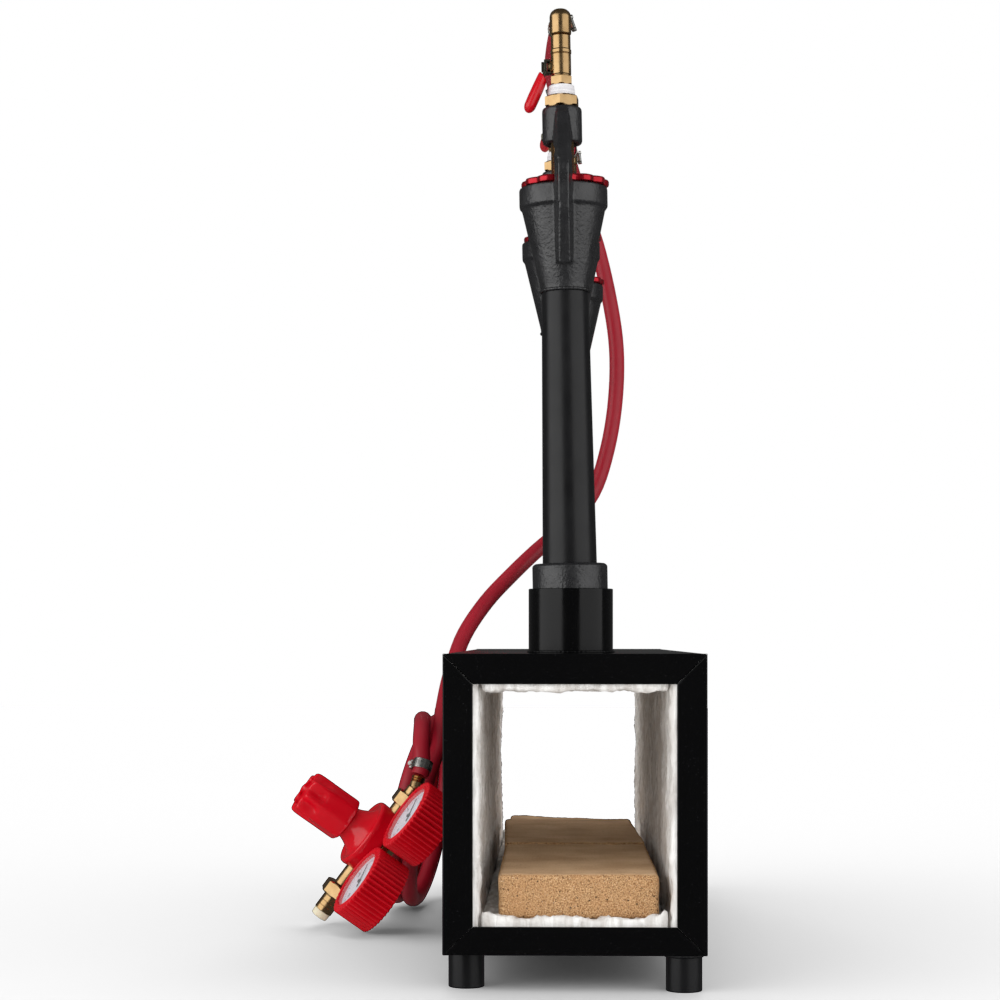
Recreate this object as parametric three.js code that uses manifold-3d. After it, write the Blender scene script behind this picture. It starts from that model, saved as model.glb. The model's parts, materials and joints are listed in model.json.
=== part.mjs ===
// Gas forge: a steel box lined with ceramic fibre, three gas burners standing on its roof,
// and a hose that runs from the rear burner to a pressure regulator lying beside the box.
// Millimetres, +Z up, +Y to the back, origin on the floor under the middle of the box.
import * as THREE from 'three';
import { mergeVertices } from 'three/addons/utils/BufferGeometryUtils.js';
import Module from 'manifold-3d';

const wasm = await Module();
wasm.setup();

// ---------------------------------------------------------------- driving dimensions
const GAP = 0.3; // between pieces that touch
const BODY = { width: 186, length: 690, height: 212, sheet: 2 };
const FRAME = { side: 21.3, top: 21.5, bottom: 20, thick: 3, corner: 3 };
const LEG = {
  radius: 12.7,
  wall: 2,
  height: 26,
  inset: 77.3,
  fromFront: 14,
  leftFromFront: 30,
  fromRear: 20,
};
const LINING = { thick: 24, floor: 21.5, roof: 25 };
const BRICK = { width: 114, length: 230, thick: 32 };
const BURNER = { x: -2, spacing: 230, pivot: 262 };
const SLEEVE = { radius: 31.75, wall: 2, top: 286 };
const FLARE = { radius: 28.3, mouth: 24, throat: 17, bottom: 215, top: 305 };
const TUBE = { bottomRadius: 20.7, topRadius: 17.6, wall: 2.5, bottom: 285.3, top: 509 };
const BELL = { foot: 18.2, shoulder: 31.6, rim: 33.25, rimBottom: 572.6, rimTop: 587.2, wall: 3.4 };
const ARM = { root: 42, inside: 33.8, wide: 15, narrow: 8.7, ribBottom: 538, bend: 598 };
const BOSS = { radius: 15, bore: 9.3, bottom: 620.5, top: 648 };
const NOZZLE = { radius: 8.9, bore: 3, bottom: 562, top: 664.8 };
const CHOKE = { radius: 33, thick: 5.6, offset: 1.5, bore: 11, scallops: 12, bottom: 587.5 };
const NUT = { acrossFlats: 24, thick: 8.6 };
const VALVE = {
  flats: 15.4,
  hexTop: 672,
  lower: 7.55,
  ring: 7.9,
  ringBottom: 688.8,
  ringTop: 692,
  upper: 7.4,
  top: 703,
};
const STEM = { height: 679.4, radius: 4.6, reach: 10.4 };
const LEVER = {
  hub: 5,
  nutFlats: 7,
  nutThick: 2,
  halfWidth: 4,
  thick: 2.2,
  bend: -3,
  splay: 25,
  gripStart: 6,
  gripLength: 31,
  gripWidth: 12,
  gripThick: 8.4,
};
const FITTING = { radius: 8.1, height: 713, port: 6.6, barb: 14, top: 723 };
const HOSE = { radius: 7.5, sides: 8 };
const SEGMENTS = 24;
const rad = THREE.MathUtils.degToRad;

// Each burner leans a little on its own account, and its valve is screwed up to its own twist.
const BURNERS = [
  { place: 'front', row: -1, lean: -1.0, leverTurn: 0, twist: 0, fitting: 'elbow' },
  { place: 'middle', row: 0, lean: -1.2, leverTurn: 90, twist: -21, fitting: 'tee' },
  { place: 'rear', row: 1, lean: 0.2, leverTurn: 90, twist: -21, fitting: 'tee' },
];

// The regulator's own frame: outlet along +x, gauges towards -y, knob along +z.
const REGULATOR = {
  centre: new THREE.Vector3(-172.2, 22.8, 74.2),
  knobAxis: new THREE.Vector3(-0.776, -0.24, 0.582),
  outletAxis: new THREE.Vector3(0.604, 0, 0.797),
};
const GAUGE = {
  radius: 33,
  depth: 32,
  face: 4.5,
  out: 58.4,
  upper: 41,
  lower: -28,
  window: 25,
  recess: 7,
  stem: 2.5,
  stemRadius: 5.5,
};
const NEEDLE = { length: 18, tail: 6, width: 2.2, thick: 1, hub: 3, rest: 42 };
const PORT = { radius: 7, z: -2.6 };
const INLET = {
  nut: -48.5,
  nutEnd: -60.5,
  nutFlats: 24,
  thread: 8,
  threadEnd: -76,
  tip: -82,
  tipRadius: 6.8,
};
const OUTLET = {
  nut: 38,
  nutEnd: 50,
  nutFlats: 20,
  bend: 60,
  radius: 6,
  barb: 9,
  towards: new THREE.Vector3(0.25, 0.36, 0.9),
};
const DRUM = { radius: 28, base: 20, bottom: -18, chamfer: 7, top: -4.3 };
const BONNET_PROFILE = [
  [0, -4], [29, -4], [31, -2], [31, 10], [29, 12.8], [26, 12.8], [24, 11.5],
  [18, 17], [15, 22], [13.5, 28.2], [0, 28.2],
];
const KNOB = {
  bottom: 28.5,
  fluteBottom: 46,
  skirtTop: 48,
  top: 74.5,
  radius: 20,
  flutes: 8,
  fluteDepth: 2.6,
};

// The coil of hose stands on edge, its top leaning on the box and its front swung outwards.
const COIL = {
  centre: new THREE.Vector3(-136, 147, 91),
  radius: 82,
  halfWidth: 19,
  lean: 10.5,
  swing: -8,
  pitch: 15.3,
  startAngle: 130,
  turns: 640 / 360,
  startOffset: 13.6,
};

// The hose from the rear burner down to the coil, and from the coil to the regulator.
const MAIN_ROUTE = [
  [-0.4, 244.6, 713], [0, 262, 713], [5, 300, 705.5], [13, 322, 684], [28, 332, 645], [41, 333, 590],
  [48, 332, 540], [47, 331, 489], [39, 328, 439], [24, 321, 394], [-2, 308, 362], [-32, 290, 335],
  [-56, 268, 311], [-80, 241, 284], [-100, 208, 252], [-110, 172, 220], [-115.5, 133, 188],
];
const TAIL_ROUTE = [
  [-133.5, 175, 167.5], [-135.5, 147, 173.4], [-134.5, 115, 174], [-132.5, 84, 172.8],
  [-131.5, 61, 168.4], [-131, 41.2, 155.2],
];

// ---------------------------------------------------------------- materials
function material(colour, roughness, metalness) {
  return new THREE.MeshStandardMaterial({ color: colour, roughness, metalness });
}

const glossBlack = material(0x0b0b0c, 0.25, 0.3);
const satinBlack = material(0x1b1c1e, 0.4, 0.3);
const castBlack = material(0x26272a, 0.55, 0.3);
const fibreWhite = material(0xe6e3de, 0.95, 0);
const brickTan = material(0xb58457, 0.9, 0);
const brass = material(0xc9a15a, 0.3, 1);
const redAnodised = material(0xa8101c, 0.3, 0.7);
const redVinyl = material(0xc00a14, 0.3, 0);
const redHose = material(0xa31a2a, 0.45, 0);
const redRubber = material(0xd0101a, 0.5, 0);
const redPlastic = material(0xcc0c16, 0.25, 0);
const blackSteel = material(0x2b2a26, 0.4, 0.8);
const needleBlack = material(0x101010, 0.5, 0.2);

// ---------------------------------------------------------------- geometry helpers
// A profile of [radius, height] points turned about +Z, running up the outside and down the inside.
function turned(profile, segments = SEGMENTS) {
  const points = profile.map(([radius, height]) => new THREE.Vector2(radius, height));
  return new THREE.LatheGeometry(points, segments).rotateX(Math.PI / 2);
}

function rod(radius, bottom, top, segments = SEGMENTS) {
  const height = top - bottom;
  return new THREE.CylinderGeometry(radius, radius, height, segments)
    .rotateX(Math.PI / 2)
    .translate(0, 0, bottom + height / 2);
}

function tube(outer, inner, bottom, top, segments = SEGMENTS) {
  return turned([[inner, bottom], [outer, bottom], [outer, top], [inner, top], [inner, bottom]], segments);
}

function block(low, high) {
  const size = high.map((value, axis) => value - low[axis]);
  const middle = high.map((value, axis) => (value + low[axis]) / 2);
  return new THREE.BoxGeometry(...size).translate(...middle);
}

function hexagon(acrossFlats, bottom, top) {
  return rod(acrossFlats / Math.sqrt(3), bottom, top, 6);
}

function extruded(shape, depth, curveSegments = 6) {
  return new THREE.ExtrudeGeometry(shape, { depth, bevelEnabled: false, curveSegments });
}

function roundedRectangle(halfX, halfY, corner) {
  const shape = new THREE.Shape();
  shape.moveTo(-halfX + corner, -halfY);
  shape.lineTo(halfX - corner, -halfY);
  shape.absarc(halfX - corner, -halfY + corner, corner, -Math.PI / 2, 0);
  shape.lineTo(halfX, halfY - corner);
  shape.absarc(halfX - corner, halfY - corner, corner, 0, Math.PI / 2);
  shape.lineTo(-halfX + corner, halfY);
  shape.absarc(-halfX + corner, halfY - corner, corner, Math.PI / 2, Math.PI);
  shape.lineTo(-halfX, -halfY + corner);
  shape.absarc(-halfX + corner, -halfY + corner, corner, Math.PI, 1.5 * Math.PI);
  return shape;
}

// Closed geometry to a solid for cutting and joining, and back.
function toSolid(geometry) {
  const bare = geometry.clone();
  bare.deleteAttribute('normal');
  bare.deleteAttribute('uv');
  const merged = mergeVertices(bare);
  const corners = [];
  for (let i = 0; i < merged.index.count; i += 3) {
    const [a, b, c] = merged.index.array.slice(i, i + 3);
    if (a !== b && b !== c && c !== a) {
      corners.push(a, b, c);
    }
  }
  return new wasm.Manifold(new wasm.Mesh({
    numProp: 3,
    vertProperties: Float32Array.from(merged.attributes.position.array),
    triVerts: Uint32Array.from(corners),
  }));
}

function toGeometry(solid) {
  const mesh = solid.getMesh();
  const geometry = new THREE.BufferGeometry();
  geometry.setAttribute('position', new THREE.BufferAttribute(mesh.vertProperties, 3));
  geometry.setIndex(new THREE.BufferAttribute(mesh.triVerts, 1));
  geometry.computeVertexNormals();
  return geometry;
}

function joined(...geometries) {
  return geometries.map(toSolid).reduce((all, next) => all.add(next));
}

function cut(base, ...cutters) {
  return cutters.map(toSolid).reduce((rest, next) => rest.subtract(next), base);
}

function add(parent, name, geometry, look) {
  const mesh = new THREE.Mesh(geometry, look);
  mesh.name = name;
  parent.add(mesh);
  return mesh;
}

// A hose along a centre line, as a section with flat sides carried along it.
function hoseAlong(curve, steps, radius = HOSE.radius) {
  const section = new THREE.Shape();
  for (let side = 0; side < HOSE.sides; side += 1) {
    const angle = (2 * Math.PI * side) / HOSE.sides;
    const [x, y] = [radius * Math.cos(angle), radius * Math.sin(angle)];
    if (side === 0) {
      section.moveTo(x, y);
    } else {
      section.lineTo(x, y);
    }
  }
  return new THREE.ExtrudeGeometry(section, { steps, extrudePath: curve, bevelEnabled: false });
}

function smoothCurve(points) {
  const vectors = points.map((point) => (point.isVector3 ? point : new THREE.Vector3(...point)));
  return new THREE.CatmullRomCurve3(vectors, false, 'catmullrom', 0.5);
}

const forge = new THREE.Group();
const bottomZ = LEG.height;
const topZ = LEG.height + BODY.height;
const halfWidth = BODY.width / 2;
const halfLength = BODY.length / 2;
const burnerRows = BURNERS.map(({ row }) => row * BURNER.spacing);

// ---------------------------------------------------------------- body shell and end frames
function shellGeometry() {
  const low = -halfLength + FRAME.thick + GAP;
  const length = -2 * low;
  const middleZ = (bottomZ + topZ) / 2;
  const outside = roundedRectangle(halfWidth, BODY.height / 2, FRAME.corner);
  const inside = roundedRectangle(
    halfWidth - BODY.sheet,
    BODY.height / 2 - BODY.sheet,
    FRAME.corner - BODY.sheet,
  );
  outside.holes.push(inside);
  const skin = extruded(outside, length, 3).rotateX(Math.PI / 2).translate(0, low + length, middleZ);
  const holes = burnerRows.map((y) =>
    rod(SLEEVE.radius - SLEEVE.wall, topZ - 10, topZ + 10).translate(BURNER.x, y, 0));
  return toGeometry(cut(toSolid(skin), ...holes));
}

function endFrameGeometry() {
  const outside = roundedRectangle(halfWidth, BODY.height / 2, FRAME.corner);
  const hole = new THREE.Path();
  const high = BODY.height / 2;
  hole.moveTo(-halfWidth + FRAME.side, -high + FRAME.bottom);
  hole.lineTo(-halfWidth + FRAME.side, high - FRAME.top);
  hole.lineTo(halfWidth - FRAME.side, high - FRAME.top);
  hole.lineTo(halfWidth - FRAME.side, -high + FRAME.bottom);
  hole.closePath();
  outside.holes.push(hole);
  return extruded(outside, FRAME.thick, 3).rotateX(Math.PI / 2);
}

function addBody() {
  add(forge, 'shell', shellGeometry(), glossBlack);
  const middleZ = (bottomZ + topZ) / 2;
  add(forge, 'front_frame', endFrameGeometry(), glossBlack)
    .position.set(0, -halfLength + FRAME.thick, middleZ);
  add(forge, 'rear_frame', endFrameGeometry(), glossBlack).position.set(0, halfLength, middleZ);

  const legs = [
    ['leg_front_left', -LEG.inset, -halfLength + LEG.leftFromFront],
    ['leg_front_right', LEG.inset, -halfLength + LEG.fromFront],
    ['leg_rear_left', -LEG.inset, halfLength - LEG.fromRear],
    ['leg_rear_right', LEG.inset, halfLength - LEG.fromRear],
  ];
  for (const [name, x, y] of legs) {
    const pipe = tube(LEG.radius, LEG.radius - LEG.wall, 0, LEG.height - GAP);
    add(forge, name, pipe, satinBlack).position.set(x, y, 0);
  }
}

// ---------------------------------------------------------------- lining and firebricks
const liningLow = bottomZ + BODY.sheet + GAP;
const liningHigh = topZ - BODY.sheet - GAP;
const liningOut = halfWidth - BODY.sheet - GAP;
const liningIn = halfWidth - BODY.sheet - LINING.thick;
const liningEnd = halfLength - FRAME.thick - GAP;
const floorTop = bottomZ + BODY.sheet + LINING.floor;
const roofBottom = topZ - BODY.sheet - LINING.roof;

// The rear brick is a half brick, rolled a little and pressed into the floor blanket.
const REAR_BRICK = { length: 115, y: 190.5, middleZ: 59.2, roll: 2.6 };

function rearBrick(grow) {
  const half = [BRICK.width / 2 + grow, REAR_BRICK.length / 2 + grow, BRICK.thick / 2 + grow];
  return block(half.map((value) => -value), half)
    .rotateY(rad(REAR_BRICK.roll))
    .translate(0, REAR_BRICK.y, REAR_BRICK.middleZ);
}

function addLining() {
  for (const [name, side] of [['lining_left', -1], ['lining_right', 1]]) {
    const [near, far] = [side * liningIn, side * liningOut].sort((a, b) => a - b);
    const slab = block([near, -liningEnd, liningLow], [far, liningEnd, liningHigh]);
    add(forge, name, slab, fibreWhite);
  }
  const inside = liningIn - GAP;
  const roof = block([-inside, -liningEnd, roofBottom], [inside, liningEnd, liningHigh]);
  const burnerHoles = burnerRows.map((y) =>
    rod(FLARE.radius + 1.5, roofBottom - 10, liningHigh + 10).translate(BURNER.x, y, 0));
  add(forge, 'lining_top', toGeometry(cut(toSolid(roof), ...burnerHoles)), fibreWhite);
  const floor = block([-inside, -liningEnd, liningLow], [inside, liningEnd, floorTop]);
  add(forge, 'lining_floor', toGeometry(cut(toSolid(floor), rearBrick(0.5))), fibreWhite);

  const brick = new THREE.BoxGeometry(BRICK.width, BRICK.length, BRICK.thick);
  const brickZ = floorTop + GAP + BRICK.thick / 2;
  const front = add(forge, 'firebrick_front', brick, brickTan);
  front.position.set(2.9, -halfLength + 15 + BRICK.length / 2, brickZ);
  const middle = add(forge, 'firebrick_middle', brick.clone(), brickTan);
  middle.position.set(0, 16.5, brickZ + 1.4);
  middle.rotation.z = rad(1.2);
  add(forge, 'firebrick_rear', rearBrick(0), brickTan);
}

// ---------------------------------------------------------------- burners
function flareGeometry() {
  return turned([
    [FLARE.mouth, FLARE.bottom],
    [FLARE.mouth + 3, FLARE.bottom],
    [FLARE.radius, FLARE.bottom + 24],
    [FLARE.radius, FLARE.top - 1.5],
    [FLARE.radius - 1.5, FLARE.top],
    [TUBE.bottomRadius + GAP, FLARE.top],
    [TUBE.bottomRadius + GAP, TUBE.bottom - GAP],
    [FLARE.throat, TUBE.bottom - GAP],
    [FLARE.throat, TUBE.bottom - 12],
    [FLARE.mouth, FLARE.bottom],
  ]);
}

function mixingTubeGeometry() {
  return turned([
    [TUBE.bottomRadius - TUBE.wall, TUBE.bottom],
    [TUBE.bottomRadius, TUBE.bottom],
    [TUBE.topRadius, TUBE.top],
    [TUBE.topRadius - TUBE.wall, TUBE.top],
    [TUBE.bottomRadius - TUBE.wall, TUBE.bottom],
  ]);
}

// The bell casting: a cone with a heavy rim, and a cage of two arms that carries the nozzle boss.
function bellGeometry() {
  const foot = TUBE.top + GAP;
  const cone = turned([
    [BELL.foot - BELL.wall, foot],
    [BELL.foot, foot],
    [BELL.foot + 0.6, foot + 5],
    [BELL.shoulder, BELL.rimBottom - 1],
    [BELL.rim, BELL.rimBottom],
    [BELL.rim, BELL.rimTop - 0.8],
    [BELL.rim - 0.8, BELL.rimTop],
    [BELL.rim - BELL.wall, BELL.rimTop],
    [BELL.shoulder - BELL.wall, BELL.rimBottom - 4],
    [BELL.foot - BELL.wall, foot + 4],
    [BELL.foot - BELL.wall, foot],
  ]);

  // The arms seen from the side, then narrowed towards their outer faces.
  const side = new THREE.Shape();
  side.moveTo(BELL.foot + 4, ARM.ribBottom - 10);
  side.lineTo(BELL.foot + 9, ARM.ribBottom - 10);
  side.lineTo(ARM.root, BELL.rimBottom - 8);
  side.lineTo(ARM.root, ARM.bend);
  side.bezierCurveTo(ARM.root, ARM.bend + 26, BOSS.radius + 14, BOSS.top - 6, BOSS.radius - 1, BOSS.top - 2);
  side.lineTo(BOSS.radius - 3, BOSS.top - 2);
  side.lineTo(BOSS.radius - 3, BOSS.bottom + 2);
  side.bezierCurveTo(BOSS.radius + 12, BOSS.bottom + 2, ARM.inside, ARM.bend + 16, ARM.inside, ARM.bend);
  side.lineTo(ARM.inside, BELL.rimTop);
  side.lineTo(BELL.rim - 2, BELL.rimTop);
  side.lineTo(BELL.rim - 2, BELL.rimBottom - 2);
  side.closePath();
  const upright = extruded(side, ARM.wide).translate(0, 0, -ARM.wide / 2).rotateX(Math.PI / 2);
  const plan = new THREE.Shape();
  plan.moveTo(0, -ARM.wide / 2);
  plan.lineTo(ARM.inside, -ARM.wide / 2);
  plan.lineTo(ARM.root, -ARM.narrow / 2);
  plan.lineTo(ARM.root, ARM.narrow / 2);
  plan.lineTo(ARM.inside, ARM.wide / 2);
  plan.lineTo(0, ARM.wide / 2);
  plan.closePath();
  const outline = extruded(plan, BOSS.top - ARM.ribBottom + 20).translate(0, 0, ARM.ribBottom - 15);
  const arm = toGeometry(toSolid(upright).intersect(toSolid(outline)));

  const boss = tube(BOSS.radius, BOSS.bore, BOSS.bottom, BOSS.top);
  const inside = turned([
    [0, foot - 2],
    [BELL.foot - BELL.wall, foot - 2],
    [BELL.foot - BELL.wall, foot + 4],
    [BELL.shoulder - BELL.wall, BELL.rimBottom - 4],
    [BELL.rim - BELL.wall, BELL.rimTop],
    [BELL.rim - BELL.wall, BELL.rimTop + 1],
    [0, BELL.rimTop + 1],
  ]);
  const arms = [-90, 90].map((turn) => arm.clone().rotateZ(rad(turn)));
  return toGeometry(cut(joined(cone, ...arms, boss), inside, rod(BOSS.bore, BOSS.bottom - 5, BOSS.top + 5)));
}

// The choke disc: a plate with a scalloped edge that travels up and down the nozzle tube.
function chokeGeometry() {
  const disc = new THREE.Shape();
  const points = 4 * CHOKE.scallops;
  for (let i = 0; i < points; i += 1) {
    const angle = (2 * Math.PI * i) / points;
    const radius = CHOKE.radius - 1.1 + 1.1 * Math.cos(CHOKE.scallops * angle);
    const [x, y] = [radius * Math.cos(angle), radius * Math.sin(angle)];
    if (i === 0) {
      disc.moveTo(x, y);
    } else {
      disc.lineTo(x, y);
    }
  }
  const bore = new THREE.Path().absarc(-CHOKE.offset, 0, CHOKE.bore - CHOKE.offset, 0, 2 * Math.PI, true);
  disc.holes.push(bore);
  return extruded(disc, CHOKE.thick).translate(CHOKE.offset, 0, CHOKE.bottom);
}

function valveBodyGeometry() {
  const bottom = NOZZLE.top + GAP;
  const barrel = turned([
    [0, bottom + 1],
    [VALVE.lower, bottom + 1],
    [VALVE.lower, VALVE.ringBottom],
    [VALVE.ring, VALVE.ringBottom],
    [VALVE.ring, VALVE.ringTop],
    [VALVE.upper, VALVE.ringTop],
    [VALVE.upper, VALVE.top],
    [0, VALVE.top],
  ], 20);
  const stem = rod(STEM.radius, 0, STEM.reach, 16).rotateY(-Math.PI / 2).translate(0, 0, STEM.height);
  return toGeometry(joined(barrel, hexagon(VALVE.flats, bottom, VALVE.hexTop), stem));
}

// The lever pointing down its valve: a hub on the stem, a straight strap and a splayed end.
function leverGroup(place) {
  const group = new THREE.Group();
  group.position.set(-STEM.reach - GAP, 0, STEM.height);
  const hub = rod(LEVER.hub, 0, LEVER.thick, 20).rotateY(-Math.PI / 2);
  const nut = hexagon(LEVER.nutFlats, LEVER.thick - 0.2, LEVER.thick + LEVER.nutThick)
    .rotateY(-Math.PI / 2);
  const strap = block([-LEVER.thick, -LEVER.halfWidth, LEVER.bend], [0, LEVER.halfWidth, 0]);
  const splayed = (geometry) =>
    geometry.rotateY(rad(LEVER.splay)).translate(-LEVER.thick / 2, 0, LEVER.bend);
  const end = splayed(block(
    [-LEVER.thick / 2, -LEVER.halfWidth, GAP - LEVER.gripStart],
    [LEVER.thick / 2, LEVER.halfWidth, 0.8],
  ));
  add(group, `valve_lever_${place}`, toGeometry(joined(hub, nut, strap, end)), blackSteel);

  // The vinyl grip starts where the bare strap ends, and its tip is round.
  const half = LEVER.gripWidth / 2;
  const outline = new THREE.Shape();
  outline.moveTo(-half + 1.5, 0);
  outline.lineTo(half - 1.5, 0);
  outline.lineTo(half, -8);
  outline.lineTo(half, -LEVER.gripLength + half);
  outline.absarc(0, -LEVER.gripLength + half, half, 0, Math.PI, true);
  outline.lineTo(-half, -8);
  outline.closePath();
  const grip = extruded(outline, LEVER.gripThick, 8)
    .translate(0, 0, -LEVER.gripThick / 2)
    .rotateX(Math.PI / 2)
    .rotateZ(Math.PI / 2)
    .translate(0, 0, -LEVER.gripStart);
  add(group, `lever_grip_${place}`, splayed(grip), redVinyl);
  return group;
}

// An elbow or a tee on the valve, with a hose barb to the back and, on a tee, to the front.
function fittingGeometry(kind) {
  const bottom = VALVE.top + GAP;
  const post = turned([
    [0, bottom],
    [FITTING.radius, bottom],
    [FITTING.radius, FITTING.top - 5],
    [FITTING.radius - 1.6, FITTING.top - 1.8],
    [FITTING.radius - 4.5, FITTING.top],
    [0, FITTING.top],
  ], 20);
  const port = rod(FITTING.port, 0, FITTING.barb, 16).rotateX(-Math.PI / 2).translate(0, 0, FITTING.height);
  const ports = kind === 'tee' ? [port, port.clone().rotateZ(Math.PI)] : [port];
  return toGeometry(joined(post, ...ports));
}

const fittingCentres = {};

function addBurner({ place, row, lean, leverTurn, twist, fitting }) {
  const y = row * BURNER.spacing;
  const sleeve = tube(SLEEVE.radius, SLEEVE.radius - SLEEVE.wall, topZ + GAP, SLEEVE.top);
  add(forge, `burner_sleeve_${place}`, sleeve, glossBlack).position.set(BURNER.x, y, 0);

  // Everything above the sleeve leans about a point inside it.
  const leaning = new THREE.Group();
  leaning.position.set(BURNER.x, y, BURNER.pivot);
  leaning.rotation.y = rad(lean);
  const burner = new THREE.Group();
  burner.position.z = -BURNER.pivot;
  leaning.add(burner);
  forge.add(leaning);

  add(burner, `flare_${place}`, flareGeometry(), castBlack);
  add(burner, `mixing_tube_${place}`, mixingTubeGeometry(), satinBlack);
  add(burner, `bell_${place}`, bellGeometry(), castBlack);
  const nozzle = tube(NOZZLE.radius, NOZZLE.bore, NOZZLE.bottom, NOZZLE.top, 20);
  add(burner, `nozzle_tube_${place}`, nozzle, brass);
  add(burner, `choke_disc_${place}`, chokeGeometry(), redAnodised);
  const nutTop = BOSS.top + GAP + NUT.thick;
  const nut = cut(toSolid(hexagon(NUT.acrossFlats, BOSS.top + GAP, nutTop)),
    rod(NOZZLE.radius + GAP, BOSS.top - 2, nutTop + 2, 20));
  add(burner, `nozzle_nut_${place}`, toGeometry(nut), brass).rotation.z = rad(-6);
  const valve = new THREE.Group();
  valve.rotation.z = rad(twist);
  burner.add(valve);
  add(valve, `valve_body_${place}`, valveBodyGeometry(), brass);
  const lever = leverGroup(place);
  lever.rotation.x = rad(leverTurn);
  valve.add(lever);
  add(burner, `inlet_fitting_${place}`, fittingGeometry(fitting), brass);
  leaning.updateMatrixWorld(true);
  fittingCentres[place] = new THREE.Vector3(0, 0, FITTING.height).applyMatrix4(burner.matrixWorld);
}

// ---------------------------------------------------------------- hoses between the burners
function addJumper(name, from, to) {
  const reach = FITTING.barb + 4 * GAP;
  const sag = 4;
  const bow = 4.2;
  const start = fittingCentres[from].clone().add(new THREE.Vector3(0, reach, 0));
  const end = fittingCentres[to].clone().add(new THREE.Vector3(0, -reach, 0));
  const points = [0, 0.08, 0.3, 0.5, 0.7, 0.92, 1].map((t) => {
    const point = start.clone().lerp(end, t);
    point.x = THREE.MathUtils.lerp(start.x, end.x, t) - bow * Math.sin(Math.PI * t);
    point.z -= sag * Math.sin(Math.PI * t) ** 2;
    return point;
  });
  add(forge, name, hoseAlong(smoothCurve(points), 10), redHose);
}

// ---------------------------------------------------------------- free hose and its coil
function coilPoint(angle) {
  const along = (angle - COIL.startAngle) / 360;
  const local = new THREE.Vector3(
    COIL.startOffset - COIL.pitch * along,
    COIL.radius * Math.cos(rad(angle)),
    COIL.radius * Math.sin(rad(angle)),
  );
  return local.applyEuler(new THREE.Euler(0, rad(COIL.lean), rad(COIL.swing), 'ZYX')).add(COIL.centre);
}

function addHoses({ tip, direction }) {
  const endAngle = COIL.startAngle + 360 * COIL.turns;
  const into = coilPoint(COIL.startAngle);
  const out = coilPoint(endAngle);
  const main = smoothCurve([...MAIN_ROUTE, into]);
  const ontoBarb = [OUTLET.barb, 2 * GAP].map((away) => tip.clone().addScaledVector(direction, away));
  const tail = smoothCurve([out, ...TAIL_ROUTE, ...ontoBarb]);
  add(forge, 'main_hose', hoseAlong(main, 32), redHose);
  add(forge, 'hose_tail', hoseAlong(tail, 10), redHose);

  // The coil as one ring, cleared where the hose runs on to it and off it.
  const edge = COIL.halfWidth - HOSE.radius;
  const roundEnd = (centre, degrees) => degrees.map((angle) => [
    COIL.radius + HOSE.radius * Math.sin(rad(angle)),
    centre + HOSE.radius * Math.cos(rad(angle)),
  ]);
  const profile = [
    ...roundEnd(edge, [0, 45, 90]),
    ...roundEnd(-edge, [90, 135, 180, 225, 270]),
    ...roundEnd(edge, [270, 315, 360]),
  ];
  const ring = turned(profile.reverse(), 30).rotateY(Math.PI / 2);
  ring.rotateY(rad(COIL.lean)).rotateZ(rad(COIL.swing)).translate(...COIL.centre);
  const clearance = HOSE.radius + 4 * GAP;
  const pastInto = coilPoint(COIL.startAngle + 2);
  const beforeOut = coilPoint(endAngle - 2);
  const cleared = cut(toSolid(ring),
    hoseAlong(smoothCurve([...MAIN_ROUTE.slice(-5), into, pastInto]), 16, clearance),
    hoseAlong(smoothCurve([beforeOut, out, ...TAIL_ROUTE]), 16, clearance));
  add(forge, 'hose_coil', toGeometry(cleared), redHose);
}

// ---------------------------------------------------------------- regulator
function addGauge(regulator, name, along) {
  const gauge = new THREE.Group();
  gauge.position.set(along, -GAUGE.out, GAUGE.face);
  regulator.add(gauge);
  const boot = turned([
    [0, -GAUGE.depth],
    [GAUGE.radius - 3, -GAUGE.depth],
    [GAUGE.radius, -GAUGE.depth + 3],
    [GAUGE.radius, -2.5],
    [GAUGE.radius - 3, 0],
    [GAUGE.window + 1.5, 0],
    [GAUGE.window, -2],
    [GAUGE.window, -GAUGE.recess],
    [0, -GAUGE.recess],
  ], 32);
  // A short stem reaches back towards the regulator's body.
  const towardsBody = Math.atan2(GAUGE.out, -along);
  const stem = rod(GAUGE.stemRadius, GAUGE.radius - 3, GAUGE.radius + GAUGE.stem, 16)
    .rotateY(Math.PI / 2)
    .translate(0, 0, -GAUGE.depth / 2)
    .rotateZ(towardsBody);
  add(gauge, `gauge_${name}`, toGeometry(joined(boot, stem)), redRubber);

  const blade = new THREE.Shape();
  blade.moveTo(-NEEDLE.tail, -NEEDLE.width / 2);
  blade.lineTo(NEEDLE.length * 0.6, -NEEDLE.width / 2);
  blade.lineTo(NEEDLE.length, 0);
  blade.lineTo(NEEDLE.length * 0.6, NEEDLE.width / 2);
  blade.lineTo(-NEEDLE.tail, NEEDLE.width / 2);
  blade.closePath();
  const level = -GAUGE.recess + 1.5;
  const needle = joined(extruded(blade, NEEDLE.thick), rod(NEEDLE.hub, -0.5, NEEDLE.thick + 0.8, 16));
  const pointer = add(gauge, `gauge_needle_${name}`, toGeometry(needle), needleBlack);
  pointer.position.z = level;
  pointer.rotation.z = rad(NEEDLE.rest);
}

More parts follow.
